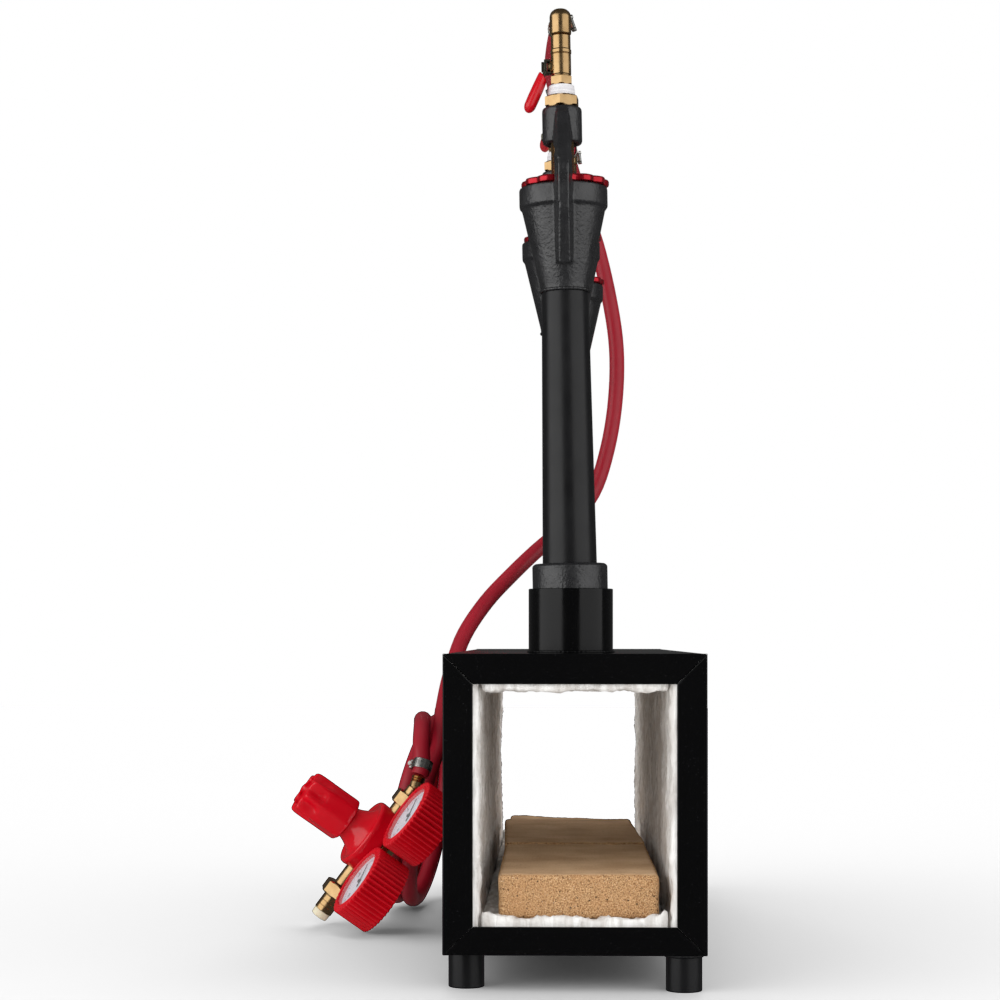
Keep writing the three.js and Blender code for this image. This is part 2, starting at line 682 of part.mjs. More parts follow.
function regulatorBodyGeometry(barbDirection) {
  const alongX = (geometry) => geometry.rotateY(Math.PI / 2).translate(0, 0, PORT.z);
  const drum = turned([
    [0, DRUM.bottom],
    [DRUM.base, DRUM.bottom],
    [DRUM.radius, DRUM.bottom + DRUM.chamfer],
    [DRUM.radius, DRUM.top],
    [0, DRUM.top],
  ]);
  const outlet = alongX(rod(PORT.radius, 20, OUTLET.nut + 1, 20));
  const nut = alongX(hexagon(OUTLET.nutFlats, OUTLET.nut, OUTLET.nutEnd));
  const neck = alongX(rod(OUTLET.radius, OUTLET.nutEnd - 1, OUTLET.bend, 20));
  const elbow = new THREE.SphereGeometry(OUTLET.radius, 12, 8).translate(OUTLET.bend, 0, PORT.z);
  const barb = rod(OUTLET.radius, 0, OUTLET.barb, 20)
    .applyQuaternion(new THREE.Quaternion().setFromUnitVectors(new THREE.Vector3(0, 0, 1), barbDirection))
    .translate(OUTLET.bend, 0, PORT.z);
  const inletPort = alongX(rod(PORT.radius, INLET.nut + GAP, -20, 20));
  const stems = [GAUGE.upper, GAUGE.lower].map((along) => {
    const reach = Math.hypot(along, GAUGE.out) - GAUGE.radius - GAUGE.stem - GAP;
    return rod(GAUGE.stemRadius, DRUM.radius / 2, reach, 16)
      .rotateY(Math.PI / 2)
      .rotateZ(Math.atan2(-GAUGE.out, along))
      .translate(0, 0, GAUGE.face - GAUGE.depth / 2);
  });
  return toGeometry(joined(drum, outlet, nut, neck, elbow, barb, inletPort, ...stems));
}

function knobGeometry() {
  const grip = new THREE.Shape();
  const steps = 6 * KNOB.flutes;
  for (let i = 0; i < steps; i += 1) {
    const angle = (2 * Math.PI * i) / steps;
    const radius = KNOB.radius - KNOB.fluteDepth * Math.abs(Math.sin((KNOB.flutes * angle) / 2));
    const [x, y] = [radius * Math.cos(angle), radius * Math.sin(angle)];
    if (i === 0) {
      grip.moveTo(x, y);
    } else {
      grip.lineTo(x, y);
    }
  }
  const fluted = extruded(grip, KNOB.top - KNOB.fluteBottom).translate(0, 0, KNOB.fluteBottom);
  const skirt = rod(KNOB.radius, KNOB.bottom, KNOB.skirtTop, 32);
  return toGeometry(joined(fluted, skirt));
}

function addRegulator() {
  const regulator = new THREE.Group();
  regulator.position.copy(REGULATOR.centre);
  const z = REGULATOR.knobAxis.clone().normalize();
  const y = z.clone().cross(REGULATOR.outletAxis).normalize();
  const x = y.clone().cross(z);
  regulator.quaternion.setFromRotationMatrix(new THREE.Matrix4().makeBasis(x, y, z));
  forge.add(regulator);

  const direction = OUTLET.towards.clone().normalize();
  const barbDirection = direction.clone().applyQuaternion(regulator.quaternion.clone().invert());
  add(regulator, 'regulator_body', regulatorBodyGeometry(barbDirection), brass);
  // The bonnet's rim is notched where the two ports pass under it.
  const portWay = rod(PORT.radius + GAP, 19, 40).rotateY(Math.PI / 2).translate(0, 0, PORT.z);
  const bonnet = cut(toSolid(turned(BONNET_PROFILE, 28)), portWay, portWay.clone().rotateZ(Math.PI));
  add(regulator, 'regulator_bonnet', toGeometry(bonnet), redPlastic);
  add(regulator, 'regulator_knob', knobGeometry(), redPlastic);
  addGauge(regulator, 'upper', GAUGE.upper);
  addGauge(regulator, 'lower', GAUGE.lower);

  const inletNut = hexagon(INLET.nutFlats, -INLET.nut, -INLET.nutEnd);
  const nipple = turned([
    [0, -INLET.nutEnd - 1],
    [INLET.thread, -INLET.nutEnd - 1],
    [INLET.thread, -INLET.threadEnd],
    [INLET.tipRadius, -INLET.tip],
    [0, -INLET.tip],
  ], 20);
  const inlet = toGeometry(joined(inletNut, nipple));
  add(regulator, 'regulator_inlet', inlet.rotateY(-Math.PI / 2).translate(0, 0, PORT.z), brass);

  const tip = new THREE.Vector3(OUTLET.bend, 0, PORT.z).addScaledVector(barbDirection, OUTLET.barb);
  regulator.updateMatrixWorld(true);
  return { tip: tip.applyMatrix4(regulator.matrixWorld), direction };
}

addBody();
addLining();
BURNERS.forEach(addBurner);
addJumper('jumper_hose_front', 'front', 'middle');
addJumper('jumper_hose_rear', 'middle', 'rear');
addHoses(addRegulator());

export default forge;
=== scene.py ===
"""Gas forge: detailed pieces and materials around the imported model.

Shapes are written in millimetres in a local frame, and a placing matrix takes them to
the model's frame in metres.
"""
import json
import math
import bmesh
import bpy
from mathutils import Euler, Matrix, Vector, noise


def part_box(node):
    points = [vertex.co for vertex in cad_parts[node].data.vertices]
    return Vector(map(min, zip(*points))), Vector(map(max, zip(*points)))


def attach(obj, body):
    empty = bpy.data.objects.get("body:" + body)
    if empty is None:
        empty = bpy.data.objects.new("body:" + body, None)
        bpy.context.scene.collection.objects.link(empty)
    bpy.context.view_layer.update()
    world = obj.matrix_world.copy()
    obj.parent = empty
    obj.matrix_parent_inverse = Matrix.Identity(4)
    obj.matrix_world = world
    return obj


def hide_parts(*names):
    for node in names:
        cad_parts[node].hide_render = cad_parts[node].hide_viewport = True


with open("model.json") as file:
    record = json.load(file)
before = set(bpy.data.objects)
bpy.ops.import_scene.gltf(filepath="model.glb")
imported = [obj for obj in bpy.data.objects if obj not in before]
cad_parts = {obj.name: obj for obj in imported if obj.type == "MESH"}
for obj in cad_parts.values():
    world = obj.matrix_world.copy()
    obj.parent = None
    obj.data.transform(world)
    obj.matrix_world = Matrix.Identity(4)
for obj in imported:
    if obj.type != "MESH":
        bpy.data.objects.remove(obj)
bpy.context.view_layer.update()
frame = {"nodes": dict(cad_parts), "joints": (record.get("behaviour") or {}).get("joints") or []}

MM = 0.001
TO_METRES = Matrix.Scale(MM, 4)
HERE = Matrix.Identity(4)
TAU = 2 * math.pi
PLACES = ("front", "middle", "rear")
joints = {joint["name"]: joint for joint in frame["joints"]}


def shift(x, y, z):
    return Matrix.Translation((x, y, z))


def turn(degrees, axis):
    return Matrix.Rotation(math.radians(degrees), 4, axis)


def axes(origin, x, y, z):
    """A placing matrix from an origin and three unit directions."""
    rotation = Matrix((x, y, z)).transposed().to_4x4()
    return Matrix.Translation(origin) @ rotation


def linked(name, data):
    """A new object in the scene."""
    made = bpy.data.objects.new(name, data)
    bpy.context.scene.collection.objects.link(made)
    return made


# ---------------- places taken from the frame
def joint_spot(name):
    return Vector(joints[name]["pos_m"]) / MM


def joint_axis(name):
    return Vector(joints[name]["axis"]).normalized()


# The lever turns on the end of the valve's stem. The middle and rear valves are screwed
# up a little short of square.
STEM_END = 10.7
STEM_HEIGHT = 679.4
VALVE_TWIST = {"front": 0, "middle": -21, "rear": -21}


def valve_place(place):
    """The valve's own frame: its axis is the choke's travel, its x the lever's pin."""
    up = joint_axis(f"choke_travel_{place}")
    across = joint_axis(f"valve_{place}")
    lever = joint_spot(f"valve_{place}")
    return axes(lever + across * STEM_END - up * STEM_HEIGHT, across, up.cross(across), up)


KNOB_BOTTOM = 28.5


def regulator_place():
    """The regulator's own frame: outlet along x, gauges towards -y, knob along z."""
    up = -joint_axis("pressure_knob")
    along = (joint_spot("needle_turn_upper") - joint_spot("needle_turn_lower")).normalized()
    knob = joint_spot("pressure_knob")
    return axes(knob - up * KNOB_BOTTOM, along, up.cross(along), up)


valves = {place: valve_place(place) for place in PLACES}
burners = {place: valves[place] @ turn(-VALVE_TWIST[place], "Z") for place in PLACES}
regulator = regulator_place()


# ---------------- camera
CAMERA_PLACE = (-0.0144, -1.905, 0.249)
CAMERA_LENS = 80
CAMERA_RISE = 0.138
CAMERA_PAN = 1.4


def add_camera():
    """A level camera with a risen lens, so that upright edges stay upright."""
    camera = bpy.data.cameras.new("camera")
    camera.lens = CAMERA_LENS
    camera.sensor_width = 36
    camera.clip_end = 50
    camera.shift_y = CAMERA_RISE
    view = linked("camera", camera)
    view.location = CAMERA_PLACE
    view.rotation_euler = (math.radians(90), 0, math.radians(CAMERA_PAN))
    bpy.context.scene.camera = view


add_camera()


# ---------------- materials
MIX_FIRST = 6
MIX_SECOND = 7
MIX_RESULT = 2


class Look:
    """A node material: a Principled shader, and the textures that drive it."""

    def __init__(self, name, colour, roughness, metallic=0.0, **sockets):
        self.material = bpy.data.materials.new(name)
        self.material.use_nodes = True
        self.tree = self.material.node_tree
        self.shader = self.tree.nodes["Principled BSDF"]
        self.shader.inputs["Base Color"].default_value = (*colour, 1)
        self.shader.inputs["Roughness"].default_value = roughness
        self.shader.inputs["Metallic"].default_value = metallic
        for socket, value in sockets.items():
            self.shader.inputs[socket.replace("_", " ")].default_value = value
        coordinates = self.tree.nodes.new("ShaderNodeTexCoord")
        self.position = coordinates.outputs["Object"]
        self.normal = self.tree.nodes.new("ShaderNodeNewGeometry").outputs["Normal"]
        self.height = None

    def stretched(self, x, y, z):
        """The object position scaled on each axis, for grain that runs one way."""
        mapping = self.tree.nodes.new("ShaderNodeMapping")
        mapping.inputs["Scale"].default_value = (x, y, z)
        self.tree.links.new(self.position, mapping.inputs["Vector"])
        return mapping.outputs["Vector"]

    def grain(self, scale, detail=3.0, where=None, distortion=0.0):
        node = self.tree.nodes.new("ShaderNodeTexNoise")
        node.inputs["Scale"].default_value = scale
        node.inputs["Detail"].default_value = detail
        node.inputs["Distortion"].default_value = distortion
        self.tree.links.new(where or self.position, node.inputs["Vector"])
        return node.outputs["Fac"]

    def cells(self, scale):
        """The distance to the nearest of many scattered points."""
        node = self.tree.nodes.new("ShaderNodeTexVoronoi")
        node.inputs["Scale"].default_value = scale
        self.tree.links.new(self.position, node.inputs["Vector"])
        return node.outputs["Distance"]

    def spread(self, value, low, high, start=0.0, end=1.0):
        """Stretches the band low..high of a texture to start..end."""
        node = self.tree.nodes.new("ShaderNodeMapRange")
        for socket, number in zip(("From Min", "From Max", "To Min", "To Max"), (low, high, start, end)):
            node.inputs[socket].default_value = number
        self.tree.links.new(value, node.inputs["Value"])
        return node.outputs["Result"]

    def mixed(self, factor, first, second):
        """A colour between two colours; each is a colour or a socket."""
        node = self.tree.nodes.new("ShaderNodeMix")
        node.data_type = "RGBA"
        self.tree.links.new(factor, node.inputs["Factor"])
        for socket, colour in ((node.inputs[MIX_FIRST], first), (node.inputs[MIX_SECOND], second)):
            if isinstance(colour, tuple):
                socket.default_value = (*colour, 1)
            else:
                self.tree.links.new(colour, socket)
        return node.outputs[MIX_RESULT]

    def facing_up(self, low, high):
        """Rises from 0 to 1 as a face turns upward."""
        split = self.tree.nodes.new("ShaderNodeSeparateXYZ")
        self.tree.links.new(self.normal, split.inputs[0])
        return self.spread(split.outputs["Z"], low, high)

    def colour(self, socket):
        self.tree.links.new(socket, self.shader.inputs["Base Color"])
        return self

    def mottle(self, value, first, second):
        return self.colour(self.mixed(value, first, second))

    def roughness(self, value, low, high, start, end):
        self.tree.links.new(self.spread(value, low, high, start, end), self.shader.inputs["Roughness"])
        return self

    def bump(self, value, strength, distance):
        """Adds a layer of bump, deep by distance in metres, on the layers before it."""
        node = self.tree.nodes.new("ShaderNodeBump")
        node.inputs["Strength"].default_value = strength
        node.inputs["Distance"].default_value = distance
        self.tree.links.new(value, node.inputs["Height"])
        if self.height:
            self.tree.links.new(self.height, node.inputs["Normal"])
        self.height = node.outputs["Normal"]
        self.tree.links.new(self.height, self.shader.inputs["Normal"])
        return self


def gloss_black():
    look = Look("gloss_black_paint", (0.0015, 0.0015, 0.0017), 0.16, Specular_IOR_Level=0.3)
    dust = look.spread(look.grain(900, 2), 0.68, 0.76)
    look.mottle(dust, (0.0015, 0.0015, 0.0017), (0.012, 0.012, 0.013))
    look.roughness(look.grain(14), 0.35, 0.7, 0.12, 0.24)
    return look.bump(look.grain(260, 2), 0.08, 0.0004).material


def satin_black():
    look = Look("satin_black_paint", (0.005, 0.005, 0.0055), 0.34, Specular_IOR_Level=0.45)
    look.mottle(look.grain(30), (0.003, 0.003, 0.0035), (0.008, 0.008, 0.009))
    look.roughness(look.grain(60), 0.3, 0.7, 0.28, 0.38)
    return look.bump(look.grain(700, 3), 0.12, 0.0003).material


def cast_black():
    look = Look("cast_black_paint", (0.010, 0.010, 0.011), 0.3, Specular_IOR_Level=1.0)
    look.mottle(look.grain(45), (0.006, 0.006, 0.0065), (0.016, 0.016, 0.018))
    look.roughness(look.grain(90), 0.3, 0.7, 0.24, 0.42)
    look.bump(look.grain(420, 2, distortion=0.4), 0.4, 0.0011)
    return look.bump(look.grain(1100, 2), 0.2, 0.0003).material


def ceramic_fibre():
    look = Look("ceramic_fibre", (0.7, 0.67, 0.63), 0.95, Specular_IOR_Level=0.1)
    strands = look.grain(34, 7, look.stretched(5, 2.2, 0.7), 0.7)
    stains = look.grain(9, 5, look.stretched(1, 1.6, 0.5))
    cloth = look.mixed(look.spread(strands, 0.36, 0.66), (0.60, 0.57, 0.54), (0.90, 0.89, 0.87))
    look.mottle(look.spread(stains, 0.54, 0.78, 0.0, 0.6), cloth, (0.42, 0.36, 0.30))
    look.bump(strands, 0.7, 0.004)
    return look.bump(look.grain(520, 5), 0.6, 0.0014).material


def firebrick():
    look = Look("firebrick", (0.46, 0.25, 0.12), 0.9, Specular_IOR_Level=0.15)
    fine = look.spread(look.grain(1100, 5), 0.38, 0.62)
    body = look.mixed(fine, (0.23, 0.105, 0.04), (0.66, 0.42, 0.215))
    body = look.mixed(look.spread(look.grain(60, 3), 0.35, 0.7, 0.0, 0.45), body, (0.46, 0.24, 0.105))
    body = look.mixed(look.spread(look.cells(480), 0.10, 0.30, 0.9, 0.0), body, (0.10, 0.045, 0.02))
    body = look.mixed(look.spread(look.cells(190), 0.08, 0.17, 1.0, 0.0), body, (0.05, 0.02, 0.01))
    body = look.mixed(look.spread(look.grain(1500, 1), 0.68, 0.76), body, (0.80, 0.66, 0.48))
    # The tops get their own colour, lighter than the sides: partly the brick's smoother skin, partly
    # painted light on the tops, which leaves the sides darker as painted shade.
    lit_top_skin = look.mixed(look.spread(look.grain(24, 6), 0.3, 0.7), (0.48, 0.30, 0.165), (0.66, 0.45, 0.27))
    lit_top_skin = look.mixed(look.spread(look.grain(500, 3), 0.6, 0.75, 0.0, 0.6), lit_top_skin, (0.19, 0.10, 0.05))
    look.mottle(look.facing_up(0.75, 0.97), body, lit_top_skin)
    look.bump(look.grain(900, 3), 0.7, 0.0012)
    return look.bump(look.cells(420), 0.3, 0.0012).material


def brass():
    look = Look("brass", (0.64, 0.42, 0.19), 0.25, 1.0)
    look.mottle(look.grain(90, 4), (0.53, 0.32, 0.13), (0.75, 0.52, 0.27))
    look.roughness(look.grain(200, 4), 0.3, 0.7, 0.18, 0.32)
    return look.bump(look.grain(1600, 2), 0.12, 0.0002).material


def red_anodised():
    look = Look("red_anodised", (0.55, 0.008, 0.02), 0.24, 0.85, Coat_Weight=0.4, Coat_Roughness=0.1)
    look.mottle(look.grain(60), (0.42, 0.005, 0.014), (0.62, 0.012, 0.028))
    return look.bump(look.grain(800, 2), 0.12, 0.0003).material


def lever_steel():
    look = Look("lever_steel", (0.09, 0.085, 0.06), 0.3, 0.9)
    look.mottle(look.grain(240, 4), (0.05, 0.048, 0.034), (0.20, 0.19, 0.14))
    return look.bump(look.grain(900, 2), 0.15, 0.0003).material


def glossy_red(name, colour, deep, roughness, coat):
    look = Look(name, colour, roughness, Coat_Weight=coat, Coat_Roughness=0.06)
    look.mottle(look.grain(35, 3), deep, colour)
    look.roughness(look.grain(120), 0.3, 0.7, roughness * 0.8, roughness * 1.3)
    return look.bump(look.grain(420, 2), 0.07, 0.0004).material


def red_hose():
    look = Look("red_hose", (0.32, 0.008, 0.02), 0.36, Specular_IOR_Level=0.4)
    look.mottle(look.grain(22, 4), (0.26, 0.006, 0.016), (0.38, 0.010, 0.024))
    look.roughness(look.grain(80), 0.3, 0.7, 0.3, 0.46)
    return look.bump(look.grain(600, 3), 0.16, 0.0004).material


def red_rubber():
    look = Look("red_rubber", (0.62, 0.002, 0.010), 0.42, Specular_IOR_Level=0.3)
    look.mottle(look.grain(50, 4), (0.52, 0.001, 0.008), (0.70, 0.003, 0.014))
    look.roughness(look.grain(200), 0.3, 0.7, 0.34, 0.52)
    return look.bump(look.grain(900, 3), 0.14, 0.0004).material


def needle_black():
    look = Look("needle_black", (0.01, 0.01, 0.011), 0.4)
    look.mottle(look.grain(300), (0.008, 0.008, 0.009), (0.02, 0.02, 0.022))
    return look.bump(look.grain(1200), 0.1, 0.0002).material


def zinc_steel():
    look = Look("zinc_steel", (0.62, 0.61, 0.58), 0.26, 1.0)
    look.mottle(look.grain(200, 4), (0.46, 0.45, 0.42), (0.74, 0.73, 0.70))
    return look.bump(look.grain(1300, 2), 0.15, 0.0002).material


def thread_tape():
    look = Look("thread_tape", (0.66, 0.65, 0.66), 0.5)
    wraps = look.grain(40, 3, look.stretched(1, 1, 26))
    look.mottle(look.spread(wraps, 0.35, 0.65), (0.56, 0.54, 0.56), (0.72, 0.71, 0.72))
    return look.bump(wraps, 0.5, 0.0006).material


def dial_white():
    look = Look("dial_white", (0.60, 0.62, 0.68), 0.35)
    look.mottle(look.grain(40, 3), (0.56, 0.58, 0.65), (0.66, 0.68, 0.73))
    return look.bump(look.grain(900), 0.05, 0.0002).material


def clear_lens():
    look = Look("clear_lens", (0.95, 0.96, 0.97), 0.06, Alpha=0.08)
    return look.bump(look.grain(60), 0.03, 0.0004).material


def studio_floor():
    look = Look("studio_floor", (0.9, 0.9, 0.9), 0.7)
    return look.mottle(look.grain(3), (0.89, 0.89, 0.89), (0.91, 0.91, 0.91)).material


def pale_cap():
    look = Look("pale_cap", (0.72, 0.66, 0.47), 0.4)
    look.mottle(look.grain(90, 3), (0.66, 0.59, 0.40), (0.78, 0.73, 0.56))
    return look.bump(look.grain(700), 0.1, 0.0003).material


LOOKS = {
    "gloss_black_paint": gloss_black(),
    "satin_black_paint": satin_black(),
    "cast_black_paint": cast_black(),
    "ceramic_fibre": ceramic_fibre(),
    "firebrick": firebrick(),
    "brass": brass(),
    "red_anodised": red_anodised(),
    "lever_steel": lever_steel(),
    "red_vinyl": glossy_red("red_vinyl", (0.56, 0.002, 0.010), (0.38, 0.001, 0.006), 0.2, 0.2),
    "red_hose": red_hose(),
    "red_enamel": glossy_red("red_enamel", (0.66, 0.002, 0.012), (0.50, 0.001, 0.008), 0.18, 0.2),
    "red_rubber": red_rubber(),
    "needle_black": needle_black(),
    "zinc_steel": zinc_steel(),
    "thread_tape": thread_tape(),
    "dial_white": dial_white(),
    "clear_lens": clear_lens(),
    "pale_cap": pale_cap(),
}


# ---------------- mesh helpers
def ringed(levels, segments=64, shape=None):
    """Rings at [radius, height] levels about Z, joined into a skin. A radius of 0 is a pole.

    The outline closes on itself unless it starts and ends on the axis. shape(radius,
    angle, level) may change a ring's radius round its circle.
    """
    mesh = bmesh.new()
    rings = []
    for index, (radius, height) in enumerate(levels):
        if radius == 0:
            rings.append([mesh.verts.new((0, 0, height))])
            continue
        ring = []
        for step in range(segments):
            angle = TAU * step / segments
            reach = shape(radius, angle, index) if shape else radius
            ring.append(mesh.verts.new((reach * math.cos(angle), reach * math.sin(angle), height)))
        rings.append(ring)
    pairs = list(zip(rings, rings[1:]))
    if len(rings[0]) > 1:
        pairs.append((rings[-1], rings[0]))
    for low, high in pairs:
        for step in range(segments):
            after = (step + 1) % segments
            if len(low) == 1:
                mesh.faces.new((low[0], high[after], high[step]))
            elif len(high) == 1:
                mesh.faces.new((low[step], low[after], high[0]))
            else:
                mesh.faces.new((low[step], low[after], high[after], high[step]))
    return mesh


def eased(outline, radius=0.5, steps=3):
    """The outline with every corner off the axis rounded."""
    points = [Vector(point) for point in outline]
    closed = points[0].x > 0
    result = []
    for index, corner in enumerate(points):
        at_end = index in (0, len(points) - 1) and not closed
        if at_end:
            result.append(tuple(corner))
            continue
        before = points[index - 1] - corner
        after = points[(index + 1) % len(points)] - corner
        reach = min(radius, before.length * 0.45, after.length * 0.45)
        start = corner + before.normalized() * reach
        end = corner + after.normalized() * reach
        for step in range(steps + 1):
            t = step / steps
            result.append(tuple(start * (1 - t) ** 2 + corner * 2 * t * (1 - t) + end * t ** 2))
    return result


def turned(outline, radius=0.5, segments=64):
    """A turned part: [radius, height] outline spun about Z, its corners rounded."""
    return ringed(eased(outline, radius), segments)


def pipe(outer, inner, bottom, top, radius, segments=64):
    return turned([(inner, bottom), (outer, bottom), (outer, top), (inner, top)], radius, segments)


def rod(reach, bottom, top, radius, segments):
    return turned([(0, bottom), (reach, bottom), (reach, top), (0, top)], radius, segments)


def hex_reach(across_flats):
    """A ring shape that is a hexagon where the ring is wider than it."""
    def shape(radius, angle, _level):
        face = (angle + math.pi / 6) % (math.pi / 3) - math.pi / 6
        return min(radius, across_flats / 2 / math.cos(face))
    return shape


NUT_SEGMENTS = 96


def hex_nut(across_flats, bottom, top, bore=0.0):
    """A hexagon nut with its corners chamfered at both ends."""
    corner = across_flats / math.sqrt(3)
    face = across_flats / 2 * 0.96
    drop = (corner - face) * 0.5
    levels = [(face, bottom), (corner, bottom + drop), (corner, top - drop), (face, top)]
    if bore:
        levels = [(bore, bottom), *levels, (bore, top)]
    else:
        levels = [(0, bottom), *levels, (0, top)]
    return ringed(levels, NUT_SEGMENTS, hex_reach(across_flats))


RINGS_PER_PITCH = 6


def threaded(radius, depth, pitch, bottom, top, segments=36):
    """A rod with a screw thread cut in it."""
    count = int((top - bottom) / pitch * RINGS_PER_PITCH)
    levels = [(0, bottom)]
    levels += [(radius, bottom + (top - bottom) * step / count) for step in range(count + 1)]
    levels.append((0, top))

    def shape(_radius, angle, level):
        height = levels[level][1]
        phase = ((height / pitch) - angle / TAU) % 1
        return radius - depth * (1 - abs(2 * phase - 1))
    return ringed(levels, segments, shape)


def slab(low, high, bevel=0.0):
    """A box between two corners, with its edges rounded."""
    mesh = bmesh.new()
    bmesh.ops.create_cube(mesh, size=1)
    size = [top - bottom for bottom, top in zip(low, high)]
    centre = [(top + bottom) / 2 for bottom, top in zip(low, high)]
    bmesh.ops.transform(mesh, matrix=shift(*centre) @ Matrix.Diagonal((*size, 1)), verts=mesh.verts)
    if bevel:
        bmesh.ops.bevel(mesh, geom=mesh.edges[:], offset=bevel, segments=3, profile=0.5,
                        affect="EDGES", clamp_overlap=True)
    return mesh


def prism(outline, bottom, top, bevel=0.0, steps=2):
    """An outline in XY raised along Z, with its rims bevelled."""
    mesh = bmesh.new()
    lower = [mesh.verts.new((x, y, bottom)) for x, y in outline]
    upper = [mesh.verts.new((x, y, top)) for x, y in outline]
    mesh.faces.new(lower[::-1])
    mesh.faces.new(upper)
    count = len(outline)
    for index in range(count):
        after = (index + 1) % count
        mesh.faces.new((lower[index], lower[after], upper[after], upper[index]))
    if bevel:
        rims = [edge for edge in mesh.edges if abs(edge.verts[0].co.z - edge.verts[1].co.z) < 1e-6]
        bmesh.ops.bevel(mesh, geom=rims, offset=bevel, segments=steps, profile=0.5,
                        affect="EDGES", clamp_overlap=True)
    return mesh


def moved(mesh, matrix):
    bmesh.ops.transform(mesh, matrix=matrix, verts=mesh.verts)
    return mesh


def baked(name, mesh):
    data = bpy.data.meshes.new(name)
    mesh.to_mesh(data)
    mesh.free()
    return data


def merged(*meshes):
    """One mesh that holds several closed bodies."""
    whole = meshes[0]
    for part in meshes[1:]:
        holder = baked("holder", part)
        whole.from_mesh(holder)
        bpy.data.meshes.remove(holder)
    return whole


def arc(centre, radius, start, end, steps=12):
    """Points on an arc, from one angle to another, in degrees."""
    points = []
    for step in range(steps + 1):
        angle = math.radians(start + (end - start) * step / steps)
        points.append((centre[0] + radius * math.cos(angle), centre[1] + radius * math.sin(angle)))
    return points


def piece(name, mesh, slot, place=HERE, body="body", replaces=(), sharp=38, look=None):
    """Makes the object: baked in place, shaded, riding on its body."""
    bmesh.ops.recalc_face_normals(mesh, faces=mesh.faces)
    moved(mesh, TO_METRES @ place)
    data = baked(name, mesh)
    data.materials.append(LOOKS[look or slot])
    data.shade_smooth()
    data.set_sharp_from_angle(angle=math.radians(sharp))
    made = linked(name, data)
    even = made.modifiers.new("even_shading", "WEIGHTED_NORMAL")
    even.keep_sharp = True
    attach(made, body)
    if replaces:
        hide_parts(*replaces)
    return made


def remeshed(made, voxel, smoothing):
    """Turns an object's closed bodies into one even skin, then softens it."""
    made.modifiers.clear()
    remesh = made.modifiers.new("remesh", "REMESH")
    remesh.mode = "VOXEL"
    remesh.voxel_size = voxel * MM
    remesh.use_smooth_shade = True
    smooth = made.modifiers.new("smooth", "SMOOTH")
    smooth.iterations = smoothing
    smooth.factor = 0.5
    bpy.context.view_layer.update()
    shaped = bpy.data.meshes.new_from_object(made.evaluated_get(bpy.context.evaluated_depsgraph_get()))
    made.modifiers.clear()
    old = made.data
    made.data = shaped
    bpy.data.meshes.remove(old)
    return made


def rough(made, layers):
    """Moves every point along its normal by layers of noise: (depth mm, size mm, stretch)."""
    moves = []
    for vertex in made.data.vertices:
        push = 0
        for depth, size, stretch in layers:
            at = Vector(value / (size * MM * wide) for value, wide in zip(vertex.co, stretch))
            push += depth * MM * noise.noise(at)
        moves.append(vertex.normal * push)
    for vertex, move in zip(made.data.vertices, moves):
        vertex.co += move
    made.data.update()
    return made


# ---------------- hoses
HOSE_RADIUS = 7.5
COIL_CENTRE = Vector((-136, 147, 91))
COIL_RADIUS = 82
COIL_PITCH = 15.3
COIL_START = 130
COIL_END = 770
COIL_OFFSET = 13.6
COIL_SWING = Euler((0, math.radians(10.5), math.radians(-8)), "XYZ").to_matrix()
MAIN_ROUTE = [
    (-0.4, 244.6, 713), (0, 262, 713), (5, 300, 705.5), (13, 322, 684), (28, 332, 645),
    (41, 333, 590), (48, 332, 540), (47, 331, 489), (39, 328, 439), (24, 321, 394),
    (-2, 308, 362), (-32, 290, 335), (-56, 268, 311), (-80, 241, 284), (-100, 208, 252),
    (-110, 172, 220), (-115.5, 133, 188),
]
TAIL_ROUTE = [
    (-133.5, 175, 167.5), (-135.5, 147, 173.4), (-134.5, 115, 174), (-132.5, 84, 172.8),
    (-131.5, 61, 168.4), (-131, 41.2, 155.2),
]
OUTLET_BEND = 60
OUTLET_BARB = 9
PORT_Z = -2.6
BARB_DIRECTION = Vector((0.25, 0.36, 0.9)).normalized()
COIL_STEP = 10
ROUTE_STEPS = 5
bend_point = regulator @ Vector((OUTLET_BEND, 0, PORT_Z))
barb_tip = bend_point + BARB_DIRECTION * OUTLET_BARB


def coil_point(angle):
    """A point on the loose loops: a helix about a level axis, swung to lean on the body."""
    along = (angle - COIL_START) / 360
    flat = math.radians(angle)
    local = Vector((COIL_OFFSET - COIL_PITCH * along,
                    COIL_RADIUS * math.cos(flat), COIL_RADIUS * math.sin(flat)))
    return COIL_SWING @ local + COIL_CENTRE


def smooth_route(points):
    """Points on a uniform Catmull-Rom curve through the route."""
    points = [Vector(point) for point in points]
    first = points[0] * 2 - points[1]
    last = points[-1] * 2 - points[-2]
    padded = [first, *points, last]
    route = []
    for a, b, c, d in zip(padded, padded[1:], padded[2:], padded[3:]):
        for step in range(ROUTE_STEPS):
            t = step / ROUTE_STEPS
            route.append(0.5 * (2 * b + (c - a) * t + (2 * a - 5 * b + 4 * c - d) * t * t
                                + (3 * b - a - 3 * c + d) * t ** 3))
    route.append(points[-1])
    return route


def hose(name, route, replaces):
    """A round hose as a curve of one open spline along a route in millimetres."""
    data = bpy.data.curves.new(name, "CURVE")
    data.dimensions = "3D"
    data.bevel_depth = HOSE_RADIUS * MM
    data.bevel_resolution = 6
    data.use_fill_caps = True
    spline = data.splines.new("POLY")
    spline.points.add(len(route) - 1)
    for point, place in zip(spline.points, route):
        point.co = (*(place * MM), 1)
    spline.use_smooth = True
    data.materials.append(LOOKS["red_hose"])
    made = linked(name, data)
    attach(made, "body")
    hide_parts(*replaces)
    return made


